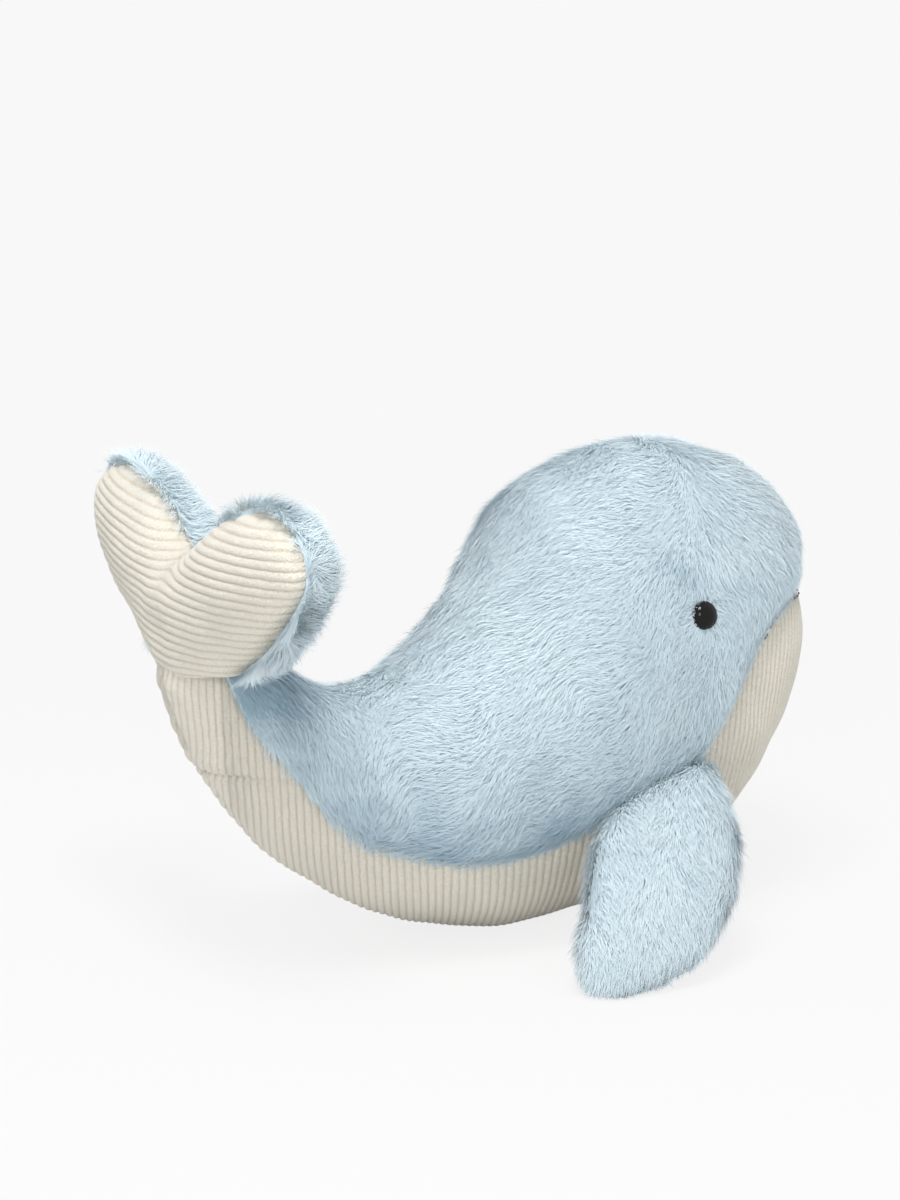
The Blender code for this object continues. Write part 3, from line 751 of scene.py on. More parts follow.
def body_grid(body, low_row, high_row, low_share, high_share, step=0.0032):
    """Rows and turns over part of the fur. The shares go from the right seam over the back to the left one."""
    count = max(8, int((high_row - low_row) * 0.030 / step))
    rows = np.linspace(low_row, high_row, count)[:, None]
    shares = np.linspace(low_share, high_share, max(6, int((high_share - low_share) * 0.11 / step)))[None, :]
    return np.broadcast_arrays(rows, shares * body.seam(rows) * 1.01)


def body_seams(body, rows):
    return -body.seam(rows), body.seam(rows)


def body_heading(points, normals):
    """Which way the body's pile would lie: tailwards over the back and flanks, down the face and the tail."""
    x, z = points[..., 0], points[..., 2]
    to_tail = smooth_step(-x, 0.050, 0.100)
    ahead, high = smooth_step(x, 0.030, 0.085), smooth_step(z, 0.128, 0.152)
    nose = smooth_step(x, 0.040, 0.115)
    crown = smooth_step(normals[..., 2], 0.45, 0.95)
    back = 1.0 - 1.35 * to_tail - 0.50 * ahead - 0.85 * nose * high
    back = back - 0.6 * crown * (1 - to_tail) * (1 - ahead)
    down = 0.50 + 0.50 * to_tail + 0.45 * ahead - 0.30 * smooth_step(z, 0.140, 0.165)
    return np.stack([-back, 0 * x, -down], axis=-1)


def body_comb(eye_places, seam_line):
    """The lie of the body's pile, which drifts, runs along the seams and goes round the eyes."""

    def comb(points, normals):
        lie = tangent_part(body_heading(points, normals), normals)
        lie = turned_about(lie, normals, 0.40 * drift(points, 0.040, 41) + 0.24 * drift(points, 0.013, 42))
        way = way_to_line(points, seam_line)
        closeness = 1 - smooth_step(np.linalg.norm(way, axis=-1), 0.003, 0.014)
        way = tangent_part(way, normals)
        towards = np.maximum(np.sum(way * lie, axis=-1), 0) * closeness * SEAM_COMB
        lie = unit(lie - way * towards[..., None])
        for place in eye_places:
            away = tangent_part(points - place, normals)
            distance = np.linalg.norm(points - place, axis=-1)
            pull = 1.5 * (1 - smooth_step(distance, 0.006, 0.014))
            lie = unit(lie + away * pull[..., None])
        return lie

    return comb


def pile_length(eye_places, seam_line):
    """Pile is trimmed round the eyes and along the face's seam, and shorter in the folds."""

    def length(points, normals):
        share = 1 + 0.09 * drift(points, 0.030, 43)
        share = share * (1 - 0.28 * brow_crease(points, 0.003))
        near_seam = 1 - smooth_step(line_distance(points, seam_line), 0.002, 0.011)
        share = share * (1 - near_seam * (0.15 + 0.38 * smooth_step(points[..., 0], 0.050, 0.085)))
        share = share * (1 - 0.30 * smooth_step(points[..., 0], 0.116, 0.134))
        for place in eye_places:
            distance = np.linalg.norm(points - place, axis=-1)
            share = share * (1 - 0.58 * (1 - smooth_step(distance, 0.0058, 0.013)))
        return share

    return length


def pile_keep(eye_places):
    """Leaves the pile out under the eyes."""

    def keep(points, normals):
        share = np.ones(points.shape[:-1])
        for place in eye_places:
            distance = np.linalg.norm(points - place, axis=-1)
            share = share * smooth_step(distance, 0.0050, 0.0056)
        return share

    return keep


def body_lift(seam_line):
    """How far the pile stands up from its usual lie, as an angle: less over the crown, and none at the seams."""

    def lift(points, normals):
        crown = smooth_step(normals[..., 2], 0.35, 0.90)
        uneven = 0.05 * drift(points, 0.016, 46) - 0.20 * crown
        return uneven * smooth_step(line_distance(points, seam_line), 0.003, 0.012)

    return lift


def pile_tone_and_painted_shade(points, normals):
    """How pale the body's strands are: a random tone, painted shade in the creases, under the fluke, low down
    and on the tail, and painted light on the back and the fuller brow.
    """
    x, z = points[..., 0], points[..., 2]
    tone = 0.56 + 0.07 * drift(points, 0.030, 44) + 0.05 * drift(points, 0.009, 45)
    # Painted shade in the brow's crease, the neck's fold, under the fluke, low down and on the tail; painted
    # light on the back and the fuller brow
    tone = tone - 0.55 * brow_crease(points, 0.0038)
    tone = tone - 0.10 * near_line(points, NECK_FOLD, 0.0036)
    tone = tone - 0.80 * near_line(points, PAINTED_SHADE_UNDER_FLUKE, 0.016)
    tone = tone - 0.48 * (1 - smooth_step(z, 0.030, 0.105))
    painted_back_light = smooth_step(-x, -0.040, 0.010) * (1 - smooth_step(-x, 0.045, 0.085))
    tone = tone + 0.45 * painted_back_light * smooth_step(z, 0.095, 0.125)
    tone = tone - 0.14 * smooth_step(-x, 0.050, 0.095)
    tone = tone + 0.12 * smooth_step(x, 0.080, 0.110)
    return tone + 0.32 * near_line(points, FULL_BROW, 0.011)


def everywhere(points, normals):
    return np.ones(points.shape[:-1])


def rim_share(normals, face):
    """How much each place faces sideways, as a rim does, and not the way of the face."""
    return 1 - smooth_step(np.abs(normals @ np.asarray(face)), 0.25, 0.80)


def by_the_cord(normals):
    """How close each place of the fluke's pile is to the corduroy."""
    return 1 - smooth_step(normals[..., 0], -0.20, 0.25)


def outer_side(points, normals):
    """How much each place of the fluke faces outwards and down."""
    return smooth_step(normals[..., 1] * np.sign(points[..., 1]) - normals[..., 2], 0.1, 0.8)


def fluke_comb(points, normals):
    """The fluke's pile spreads outwards from the heart of each lobe, in tufts that lean all ways at the rim."""
    across = points[..., 1] - np.where(points[..., 1] > 0, 1, -1) * LOBE_HEART[0]
    rise = points[..., 2] - LOBE_HEART[1]
    sideways = outer_side(points, normals)
    forwards = 0.80 - 0.45 * sideways - 0.95 * by_the_cord(normals) * (1 - sideways * (points[..., 1] > 0))
    outwards = 0.35 * np.tanh(across / 0.015)
    upwards = 0.35 * np.tanh(rise / 0.015) - 0.15 * sideways
    lie = tangent_part(np.stack([forwards, outwards, upwards], axis=-1), normals)
    loose = 0.35 + 0.75 * sideways
    stray = 0.8 * drift(points, 0.020, 51) + 0.8 * drift(points, 0.007, 52)
    return turned_about(lie, normals, loose * stray)


FLUKE_FIELDS = {
    "comb": fluke_comb,
    "pile": lambda points, normals: 1 + 0.1 * drift(points, 0.025, 53),
    "keep": everywhere,
    "lift": lambda points, normals: 0.12 * rim_share(normals, (1, 0, 0)) + 0.24 * outer_side(points, normals),
    "tone": lambda points, normals: 0.74 + 0.10 * drift(points, 0.016, 54),
}


def fin_fields(fin, along):
    """The pile of a fin lies along it and rearwards, less so at the rim."""
    rear, face = -fin.place[:3, 0], fin.place[:3, 2]

    def comb(points, normals):
        back = rear * (0.75 - 0.55 * rim_share(normals, face))[..., None]
        lie = tangent_part(along + back, normals)
        return turned_about(lie, normals, 0.35 * drift(points, 0.024, 61) + 0.2 * drift(points, 0.009, 62))

    return {
        "comb": comb,
        "pile": lambda points, normals: 1 + 0.1 * drift(points, 0.02, 63),
        "keep": everywhere,
        "lift": lambda points, normals: 0.12 * rim_share(normals, face),
        # Painted light: the fin's pile gets a paler tone than the body's, lifting the shade where it meets the
        # body
        "tone": lambda points, normals: 0.88 + 0.08 * drift(points, 0.016, 64),
    }


# Pile as Geometry Nodes


def add(tree, kind, links=None, **settings):
    """Adds a node, sets it up, and links or sets its inputs by name or number."""
    node = tree.nodes.new(kind)
    for name, value in settings.items():
        setattr(node, name, value)
    for key, value in (links or {}).items():
        if isinstance(value, bpy.types.NodeSocket):
            tree.links.new(value, node.inputs[key])
        else:
            node.inputs[key].default_value = value
    return node


def maths(tree, operation, *values):
    """What a Math node gives."""
    return add(tree, "ShaderNodeMath", dict(enumerate(values)), operation=operation).outputs[0]


def vector_maths(tree, operation, links, output=0):
    """What a Vector Math node gives."""
    return add(tree, "ShaderNodeVectorMath", links, operation=operation).outputs[output]


def field(tree, name, kind="FLOAT"):
    """A field of the mesh that the tree works on, by its name."""
    return add(tree, "GeometryNodeInputNamedAttribute", {"Name": name}, data_type=kind).outputs["Attribute"]


def chance(tree, low, high, seed):
    """A random value for each point."""
    return add(tree, "FunctionNodeRandomValue", {2: low, 3: high, "Seed": seed}, data_type="FLOAT").outputs[1]


def store(tree, geometry, name, value, kind="FLOAT", domain="POINT"):
    links = {"Geometry": geometry, "Name": name, "Value": value}
    return add(tree, "GeometryNodeStoreNamedAttribute", links, data_type=kind, domain=domain).outputs["Geometry"]


def geometry_tree(name, inputs, output):
    """A Geometry Nodes tree with named inputs, the identifier of each input, and the inputs as links."""
    tree = bpy.data.node_groups.new(name, "GeometryNodeTree")
    sockets = {}
    for socket, kind in inputs.items():
        made = tree.interface.new_socket(socket, in_out="INPUT", socket_type=f"NodeSocket{kind}")
        sockets[socket] = made.identifier
    tree.interface.new_socket(output, in_out="OUTPUT", socket_type="NodeSocketGeometry")
    return tree, sockets, tree.nodes.new("NodeGroupInput").outputs


def real_copies(tree, thing, points, rotation, scale):
    """Real copies of an object, one on each point."""
    copied = add(tree, "GeometryNodeObjectInfo", {"Object": thing}).outputs["Geometry"]
    links = {"Points": points, "Instance": copied, "Rotation": rotation, "Scale": scale}
    grown = add(tree, "GeometryNodeInstanceOnPoints", links).outputs[0]
    return add(tree, "GeometryNodeRealizeInstances", {0: grown}).outputs[0]


def end_tree(tree, geometry, material):
    """Gives what the tree has made its material, and hands it out."""
    made = add(tree, "GeometryNodeSetMaterial", {"Geometry": geometry, "Material": material}).outputs[0]
    tree.links.new(made, tree.nodes.new("NodeGroupOutput").inputs[0])


def grown_mesh(name, carrier, tree, sockets, values):
    """What a tree makes of a carrier, as a plain mesh. The carrier is removed."""
    modifier = carrier.modifiers.new(tree.name, "NODES")
    modifier.node_group = tree
    for key, value in values.items():
        modifier[sockets[key]] = value
    bpy.context.view_layer.update()
    graph = bpy.context.evaluated_depsgraph_get()
    mesh = bpy.data.meshes.new_from_object(carrier.evaluated_get(graph), depsgraph=graph)
    mesh.name = name
    bpy.data.objects.remove(carrier)
    return mesh


def strand_mesh():
    """One strand, 1 long: a tapered ribbon that rises along Z and bends over towards X."""
    mesh = bpy.data.meshes.new("strand")
    points, share, edge = [], [], []
    x = z = along = 0.0
    for length, lift, width in STRAND_STEPS:
        for sideways in (-0.5, 0.5):
            points.append((x, sideways * width, z))
            share.append(along)
            edge.append(2 * sideways)
        x += length * math.cos(math.radians(lift))
        z += length * math.sin(math.radians(lift))
        along += length
    points.append((x, 0, z))
    share.append(1)
    edge.append(0)
    mesh.from_pydata(points, [], [(0, 2, 3, 1), (2, 4, 5, 3), (4, 6, 5)])
    for name, values in (("rise", share), ("edge", edge)):
        mesh.attributes.new(name, "FLOAT", "POINT").data.foreach_set("value", values)
    mesh.shade_smooth()
    return mesh


def strand_rotation(tree, normal, guard_lift):
    """Each strand's rotation: upright on the ground, combed, and then astray by a little."""
    upright = add(tree, "FunctionNodeAlignRotationToVector", {"Vector": normal}, axis="Z").outputs[0]
    links = {"Rotation": upright, "Vector": field(tree, "comb", "FLOAT_VECTOR")}
    combed = add(tree, "FunctionNodeAlignRotationToVector", links, axis="X", pivot_axis="Z").outputs[0]
    limits = {0: STRAY_LOW, 1: STRAY_HIGH, "Seed": 7}
    stray = add(tree, "FunctionNodeRandomValue", limits, data_type="FLOAT_VECTOR").outputs[0]
    guard = maths(tree, "MULTIPLY", maths(tree, "POWER", chance(tree, 0.0, 1.0, 6), 5.0), guard_lift)
    raised = add(tree, "ShaderNodeCombineXYZ", {1: maths(tree, "ADD", guard, field(tree, "lift"))}).outputs[0]
    stray = vector_maths(tree, "SUBTRACT", {0: stray, 1: raised})
    stray = add(tree, "FunctionNodeEulerToRotation", {0: stray}).outputs[0]
    links = {"Rotation": combed, "Rotate By": stray}
    return add(tree, "FunctionNodeRotateRotation", links, rotation_space="LOCAL").outputs[0]


def strand_size(tree, length, width):
    """Each strand's size, from the usual length and width."""
    length = maths(tree, "MULTIPLY", length, field(tree, "pile"))
    length = maths(tree, "MULTIPLY", length, chance(tree, 0.72, 1.15, 8))
    width = maths(tree, "MULTIPLY", width, chance(tree, 0.75, 1.25, 9))
    return add(tree, "ShaderNodeCombineXYZ", {0: length, 1: width, 2: length}).outputs[0]


def clumped(tree, geometry, rise, size, pull):
    """Draws the tips of neighbouring strands together."""
    root = field(tree, "root", "FLOAT_VECTOR")
    links = {"Vector": root, "Scale": maths(tree, "DIVIDE", 1.0, size)}
    heart = add(tree, "ShaderNodeTexVoronoi", links).outputs["Position"]
    towards = vector_maths(tree, "SUBTRACT", {0: heart, 1: root})
    pull = maths(tree, "MULTIPLY", maths(tree, "MULTIPLY", rise, rise), pull)
    pulled = vector_maths(tree, "SCALE", {0: towards, "Scale": pull})
    return add(tree, "GeometryNodeSetPosition", {"Geometry": geometry, "Offset": pulled}).outputs[0]


def pile_tree():
    """Strands on a backing, from its comb, pile, keep, lift and tone fields."""
    tree, sockets, inputs = geometry_tree("pile", PILE_INPUTS, "Pile")
    density = maths(tree, "MULTIPLY", inputs["Strands per square metre"], field(tree, "keep"))
    links = {"Mesh": inputs["Backing"], "Density": density, "Seed": inputs["Seed"]}
    spots = add(tree, "GeometryNodeDistributePointsOnFaces", links).outputs
    place = add(tree, "GeometryNodeInputPosition").outputs[0]
    points = store(tree, spots["Points"], "root", place, "FLOAT_VECTOR")
    own_tone = maths(tree, "ADD", field(tree, "tone"), chance(tree, -0.11, 0.11, 5))
    points = store(tree, points, "tone", own_tone)

    rotation = strand_rotation(tree, spots["Normal"], inputs["Guard lift"])
    size = strand_size(tree, inputs["Length"], inputs["Width"])
    made = real_copies(tree, inputs["Strand"], points, rotation, size)
    rise = field(tree, "rise")
    made = clumped(tree, made, rise, inputs["Clump size"], inputs["Clump pull"])

    # Each strand has its own column of the OFBake map, from root to tip, that the material reads its colour from
    across = maths(tree, "ADD", field(tree, "tone"), maths(tree, "MULTIPLY", field(tree, "edge"), 0.004))
    across = maths(tree, "MINIMUM", maths(tree, "MAXIMUM", across, 0.01), 0.99)
    upwards = maths(tree, "ADD", maths(tree, "MULTIPLY", rise, 0.96), 0.02)
    spot = add(tree, "ShaderNodeCombineXYZ", {0: across, 1: upwards}).outputs[0]
    made = store(tree, made, "OFBake", spot, "FLOAT2", "CORNER")
    end_tree(tree, made, inputs["Material"])
    return tree, sockets


def grow_pile(name, ground, tree, sockets, values):
    """Grows strands on a backing and keeps them above the floor, without the fields that steered them."""
    mesh = grown_mesh(name, ground, tree, sockets, values)
    soften_shading(mesh)
    for leftover in ("root", "comb", "pile", "keep", "lift", "tone", "rise", "edge", "ground"):
        if leftover in mesh.attributes:
            mesh.attributes.remove(mesh.attributes[leftover])
    places = np.empty(len(mesh.vertices) * 3, np.float32)
    mesh.vertices.foreach_get("co", places)
    places[2::3] = np.maximum(places[2::3], 0.0004)
    mesh.vertices.foreach_set("co", places)
    return new_piece(name, mesh, None)


def soften_shading(mesh):
    """Turns the strands' shading towards that of the skin below, as light spreads through real pile."""
    ground = np.empty(len(mesh.vertices) * 3, np.float32)
    own = np.empty_like(ground)
    mesh.attributes["ground"].data.foreach_get("vector", ground)
    mesh.vertex_normals.foreach_get("vector", own)
    mesh.normals_split_custom_set_from_vertices(unit(ground.reshape(-1, 3) + own.reshape(-1, 3) * OWN_SHADE))


def area_of(thing):
    return sum(polygon.area for polygon in thing.data.polygons)


# Shader groups and materials


def new_group(name, inputs, outputs):
    group = bpy.data.node_groups.new(name, "ShaderNodeTree")
    for socket, kind, value in inputs:
        made = group.interface.new_socket(socket, in_out="INPUT", socket_type=f"NodeSocket{kind}")
        if value is not None:
            made.default_value = value
    for socket, kind in outputs:
        group.interface.new_socket(socket, in_out="OUTPUT", socket_type=f"NodeSocket{kind}")
    return group, group.nodes.new("NodeGroupInput").outputs, group.nodes.new("NodeGroupOutput").inputs


def cloth_mottle_group():
    """Soft patches and fine fibre flecks, as a shade between 0 and 1 and as a height."""
    group, given, out = new_group(
        "cloth_mottle",
        [("Patch size", "Float", 0.02), ("Fibre size", "Float", 0.0006), ("Fibre share", "Float", 0.5)],
        [("Shade", "Float"), ("Height", "Float")],
    )
    places = add(group, "ShaderNodeTexCoord").outputs["Object"]

    def grain(size, detail):
        links = {"Vector": places, "Scale": maths(group, "DIVIDE", 1.0, size), "Detail": detail}
        return add(group, "ShaderNodeTexNoise", links).outputs[0]

    patch, fibre = grain(given["Patch size"], 2.0), grain(given["Fibre size"], 3.0)
    shade = add(group, "ShaderNodeMix", {0: given["Fibre share"], 2: patch, 3: fibre}, data_type="FLOAT")
    group.links.new(shade.outputs[0], out["Shade"])
    group.links.new(fibre, out["Height"])
    return group


def new_material(name):
    material = bpy.data.materials.new(name)
    material.use_nodes = True
    tree = material.node_tree
    return material, tree, tree.nodes["Principled BSDF"].inputs


def set_values(inputs, values):
    for name, value in values.items():
        inputs[name].default_value = value


def ranged(tree, value, low, high, low_result=0.0, high_result=1.0, **settings):
    """What a Map Range node gives."""
    links = {0: value, 1: low, 2: high, 3: low_result, 4: high_result}
    return add(tree, "ShaderNodeMapRange", links, **settings).outputs[0]


def mixed(tree, share, low, high):
    """A mix of two colours, each of them a link or three numbers."""
    low, high = (end if isinstance(end, bpy.types.NodeSocket) else (*end, 1) for end in (low, high))
    return add(tree, "ShaderNodeMix", {0: share, 6: low, 7: high}, data_type="RGBA").outputs[2]


def mottled(tree, mottle, **values):
    """The shade and height of the mottle group, with its inputs set by name."""
    links = {name.replace("_", " "): value for name, value in values.items()}
    return add(tree, "ShaderNodeGroup", links, node_tree=mottle).outputs


def set_bump(tree, shader, height, distance, strength):
    node = add(tree, "ShaderNodeBump", {"Height": height, "Distance": distance, "Strength": strength})
    tree.links.new(node.outputs[0], shader["Normal"])


def strand_material():
    """Pile strands: deeper at the root, paler at the tip, each with its own tone, with painted shade where the
    tone is low and painted light on their back faces.
    """
    material, tree, shader = new_material("pile_strands")
    spot = add(tree, "ShaderNodeUVMap", uv_map="OFBake").outputs[0]
    tone, along = add(tree, "ShaderNodeSeparateXYZ", {0: spot}).outputs[:2]
    rise = ranged(tree, along, 0.05, 0.60, interpolation_type="SMOOTHSTEP")
    # Where the tone is low, the strands turn towards the painted shade colour
    light = ranged(tree, tone, -0.05, 0.42)
    colour = mixed(tree, rise, FUR_ROOT, mixed(tree, tone, FUR_SHADE, FUR_TIP))
    colour = mixed(tree, light, FUR_PAINTED_SHADE, colour)
    side = add(tree, "ShaderNodeNewGeometry").outputs
    # The strands' back faces get painted light, their colour mixed towards a paler one
    painted_under_light = mixed(tree, 0.60, colour, PAINTED_UNDERSIDE_LIGHT)
    colour = mixed(tree, side["Backfacing"], colour, painted_under_light)
    tree.links.new(colour, shader["Base Color"])
    links = {0: side["Backfacing"], 4: side["Normal"], 5: side["True Normal"]}
    facing = add(tree, "ShaderNodeMix", links, data_type="VECTOR").outputs[1]
    tree.links.new(facing, shader["Normal"])
    set_values(shader, {"Roughness": 0.62, "Specular IOR Level": 0.2})
    set_values(shader, {"Sheen Weight": 0.3, "Sheen Roughness": 0.5})
    return material


def backing_material(mottle):
    """The knitted ground under the pile, painted darker than the strands as shade between them."""
    material, tree, shader = new_material("pile_backing")
    flecks = mottled(tree, mottle, Patch_size=0.018, Fibre_size=0.0008)
    tree.links.new(mixed(tree, flecks["Shade"], FUR_GROUND_LOW, FUR_GROUND_HIGH), shader["Base Color"])
    set_bump(tree, shader, flecks["Height"], 0.0006, 0.6)
    set_values(shader, {"Roughness": 0.9, "Sheen Weight": 0.3})
    return material


def cord_material(mottle):
    """Corduroy: pale crests of short pile, grooves painted a darker brown, partly the cloth's bare ground and
    partly painted shade, and flecks along each wale.
    """
    material, tree, shader = new_material("corduroy_cloth")
    spot = add(tree, "ShaderNodeUVMap", uv_map="cloth").outputs[0]
    wale = add(tree, "ShaderNodeSeparateXYZ", {0: spot}).outputs[0]
    centred = maths(tree, "SUBTRACT", maths(tree, "FRACT", wale), 0.5)
    stretch = add(tree, "ShaderNodeMapping", {0: spot, 3: (1.0, 3.4, 1.0)}).outputs[0]
    links = {"Vector": stretch, "Scale": 1.7, "Detail": 3.0, "Roughness": 0.65}
    tufts = add(tree, "ShaderNodeTexNoise", links).outputs[0]
    frayed = ranged(tree, tufts, 0.25, 0.75, -0.10, 0.10)
    beside = maths(tree, "ADD", maths(tree, "ABSOLUTE", centred), frayed)
    # The grooves are painted brown: partly the bare ground of the cloth, partly painted shade in the recess
    groove = ranged(tree, beside, 0.26, 0.52, interpolation_type="SMOOTHSTEP")
    ragged = maths(tree, "ADD", maths(tree, "MULTIPLY", tufts, 0.9), 0.45)
    depth = maths(tree, "MULTIPLY", groove, ragged)
    flecks = mottled(tree, mottle, Patch_size=0.03, Fibre_size=0.0008, Fibre_share=0.65)
    worn, fresh = ([channel * share for channel in CORD_CREST] for share in (0.80, 1.20))
    crest = mixed(tree, flecks["Shade"], worn, fresh)
    tree.links.new(mixed(tree, depth, crest, CORD_GROOVE), shader["Base Color"])
    set_bump(tree, shader, maths(tree, "ADD", tufts, flecks["Height"]), 0.0011, 0.9)
    set_values(shader, {"Roughness": 0.88, "Specular IOR Level": 0.25})
    set_values(shader, {"Sheen Weight": 0.35, "Sheen Roughness": 0.4})
    return material


def eye_material():
    """Polished black plastic with faint wear."""
    material, tree, shader = new_material("eye_gloss_black")
    places = add(tree, "ShaderNodeTexCoord").outputs["Object"]
    wear = add(tree, "ShaderNodeTexNoise", {"Vector": places, "Scale": 900.0, "Detail": 4.0}).outputs[0]
    tree.links.new(ranged(tree, wear, 0.35, 0.75, 0.035, 0.075), shader["Roughness"])
    tree.links.new(mixed(tree, wear, (0.003, 0.003, 0.0035), (0.006, 0.0055, 0.0055)), shader["Base Color"])
    set_values(shader, {"Specular IOR Level": 0.22})
    return material


def thread_material(mottle):
    """Dark brown twisted thread."""
    material, tree, shader = new_material("mouth_thread_twist")
    flecks = mottled(tree, mottle, Fibre_size=0.0003, Fibre_share=0.8)
    tree.links.new(mixed(tree, flecks["Shade"], THREAD_DARK, THREAD_PALE), shader["Base Color"])
    set_bump(tree, shader, flecks["Height"], 0.0003, 0.7)
    set_values(shader, {"Roughness": 0.75})
    return material


def washer_material(mottle):
    """Plain white plastic."""
    material, tree, shader = new_material("washer_plastic")
    flecks = mottled(tree, mottle)
    tree.links.new(mixed(tree, flecks["Shade"], (0.72, 0.72, 0.71), (0.84, 0.84, 0.83)), shader["Base Color"])
    set_values(shader, {"Roughness": 0.4})
    return material


# Eyes and mouth


def eye_mesh(name, seat, facing):
    """A domed eye with a thin rim and its stem, turned about its own axis."""
    radius, stem, bead = EYE_DIAMETER / 2, EYE_STEM_DIAMETER / 2, EYE_RIM / 2
    profile = []
    for angle in np.linspace(math.pi / 2, 0, 22):
        profile.append((radius * math.cos(angle), EYE_RIM + (EYE_DOME_HEIGHT - EYE_RIM) * math.sin(angle)))
    for angle in np.linspace(0, -math.pi / 2, 6)[1:]:
        profile.append((radius - bead + bead * math.cos(angle), bead + bead * math.sin(angle)))
    profile += [(stem, 0), (stem, -EYE_STEM_LENGTH), (0, -EYE_STEM_LENGTH)]
    bm = bmesh.new()
    line = [bm.verts.new((max(r, 0), 0, z)) for r, z in profile]
    edges = [bm.edges.new(pair) for pair in zip(line, line[1:])]
    bmesh.ops.spin(bm, geom=line + edges, cent=(0, 0, 0), axis=(0, 0, 1), angle=2 * math.pi, steps=56)
    bmesh.ops.remove_doubles(bm, verts=bm.verts, dist=0.000005)
    mesh = smooth_mesh(name, bm)
    turn = Vector(facing).to_track_quat("Z", "Y").to_matrix().to_4x4()
    mesh.transform(Matrix.Translation(Vector(seat)) @ turn)
    return mesh


def mouth_path(body):
    """Points of the mouth's line of thread, just below the seam, round the nose."""
    shares = np.linspace(-1, 1, 61)
    rows = np.maximum(np.abs(shares) * MOUTH_END_ROW, NOSE_START_ROW)
    turns = np.where(shares > 0, -1, 1) * body.seam(rows)
    points, normals = body.point(rows, turns), body.normal(rows, turns)
    along = np.gradient(points, axis=0)
    down = unit(np.cross(along, normals))
    if down[len(down) // 2, 2] > 0:
        down = -down
    return points + normals * (0.0007 + 0.0007 * np.abs(shares))[:, None] + down * MOUTH_DROP


def stitch_mesh():
    """One stitch, 1 long along Z: a short bowed length of thread with round ends."""
    sides = 8
    bm = bmesh.new()
    rings = []
    for along in np.linspace(-0.5, 0.5, 7):
        radius = 0.5 * math.sqrt(max(0.02, 1 - (2 * along) ** 4))
        bow = 0.35 * (1 - (2 * along) ** 2)
        angles = np.linspace(0, 2 * math.pi, sides, endpoint=False)
        rings.append([bm.verts.new((radius * math.cos(a) + bow, radius * math.sin(a), along)) for a in angles])
    for low, high in zip(rings, rings[1:]):
        for j in range(sides):
            k = (j + 1) % sides
            bm.faces.new((low[j], low[k], high[k], high[j]))
    bm.faces.new(rings[0][::-1])
    bm.faces.new(rings[-1])
    return smooth_mesh("stitch", bm)


def stitch_tree():
    """Stitches along a path."""
    tree, sockets, inputs = geometry_tree("stitches", STITCH_INPUTS, "Stitches")
    links = {"Curve": inputs["Path"], "Length": inputs["Spacing"]}
    spots = add(tree, "GeometryNodeCurveToPoints", links, mode="LENGTH").outputs
    along = add(tree, "FunctionNodeAlignRotationToVector", {"Vector": spots["Tangent"]}, axis="Z").outputs[0]
    links = {0: inputs["Thickness"], 1: inputs["Thickness"], 2: inputs["Length"]}
    size = add(tree, "ShaderNodeCombineXYZ", links).outputs[0]
    end_tree(tree, real_copies(tree, inputs["Stitch"], spots["Points"], along, size), inputs["Material"])
    return tree, sockets


def mouth_stitches(body, material):
    """The mouth's row of stitches, laid along a curve that is removed afterwards."""
    curve = bpy.data.curves.new("mouth_path", "CURVE")
    curve.dimensions = "3D"
    path = mouth_path(body)
    spline = curve.splines.new("POLY")
    spline.points.add(len(path) - 1)
    for point, place in zip(spline.points, path):
        point.co = (*place, 1)
    carrier = new_piece("mouth_path", curve, None)
    stitch = new_piece("stitch", stitch_mesh(), None)
    values = {"Stitch": stitch, "Material": material}
    values.update({"Spacing": 0.0056, "Length": 0.0038, "Thickness": 0.00075})
    mesh = grown_mesh("mouth_stitches", carrier, *stitch_tree(), values)
    bpy.data.objects.remove(stitch)
    return new_piece("mouth_stitches", mesh, material)


# Studio


def make_floor():
    """A pale floor that fades into the white ground of the picture away from the toy."""
    half = 6.0
    mesh = bpy.data.meshes.new("floor")
    corners = [(-half, -half, 0), (half, -half, 0), (half, half, 0), (-half, half, 0)]
    mesh.from_pydata(corners, [], [(0, 1, 2, 3)])
    material, tree, shader = new_material("floor_paper")
    set_values(shader, {"Base Color": (0.84, 0.84, 0.84, 1), "Roughness": 0.9, "Specular IOR Level": 0.1})
    places = add(tree, "ShaderNodeTexCoord").outputs["Object"]
    away = vector_maths(tree, "LENGTH", {0: places}, "Value")
    fade = ranged(tree, away, *FLOOR_FADE, interpolation_type="SMOOTHSTEP")
    fade = ranged(tree, fade, 0.0, 1.0, FLOOR_PAPER_SHARE, 1.0)
    rays = add(tree, "ShaderNodeLightPath").outputs
    mirrored = maths(tree, "MAXIMUM", rays["Is Glossy Ray"], rays["Is Transmission Ray"])
    seen = maths(tree, "MAXIMUM", maths(tree, "MULTIPLY", rays["Is Camera Ray"], fade), mirrored)
    paper = add(tree, "ShaderNodeEmission", {0: PAPER}).outputs[0]
    lit = tree.nodes["Principled BSDF"].outputs[0]
    blend = add(tree, "ShaderNodeMixShader", {0: seen, 1: lit, 2: paper}).outputs[0]
    tree.links.new(blend, tree.nodes["Material Output"].inputs["Surface"])
    new_piece("floor", mesh, material)


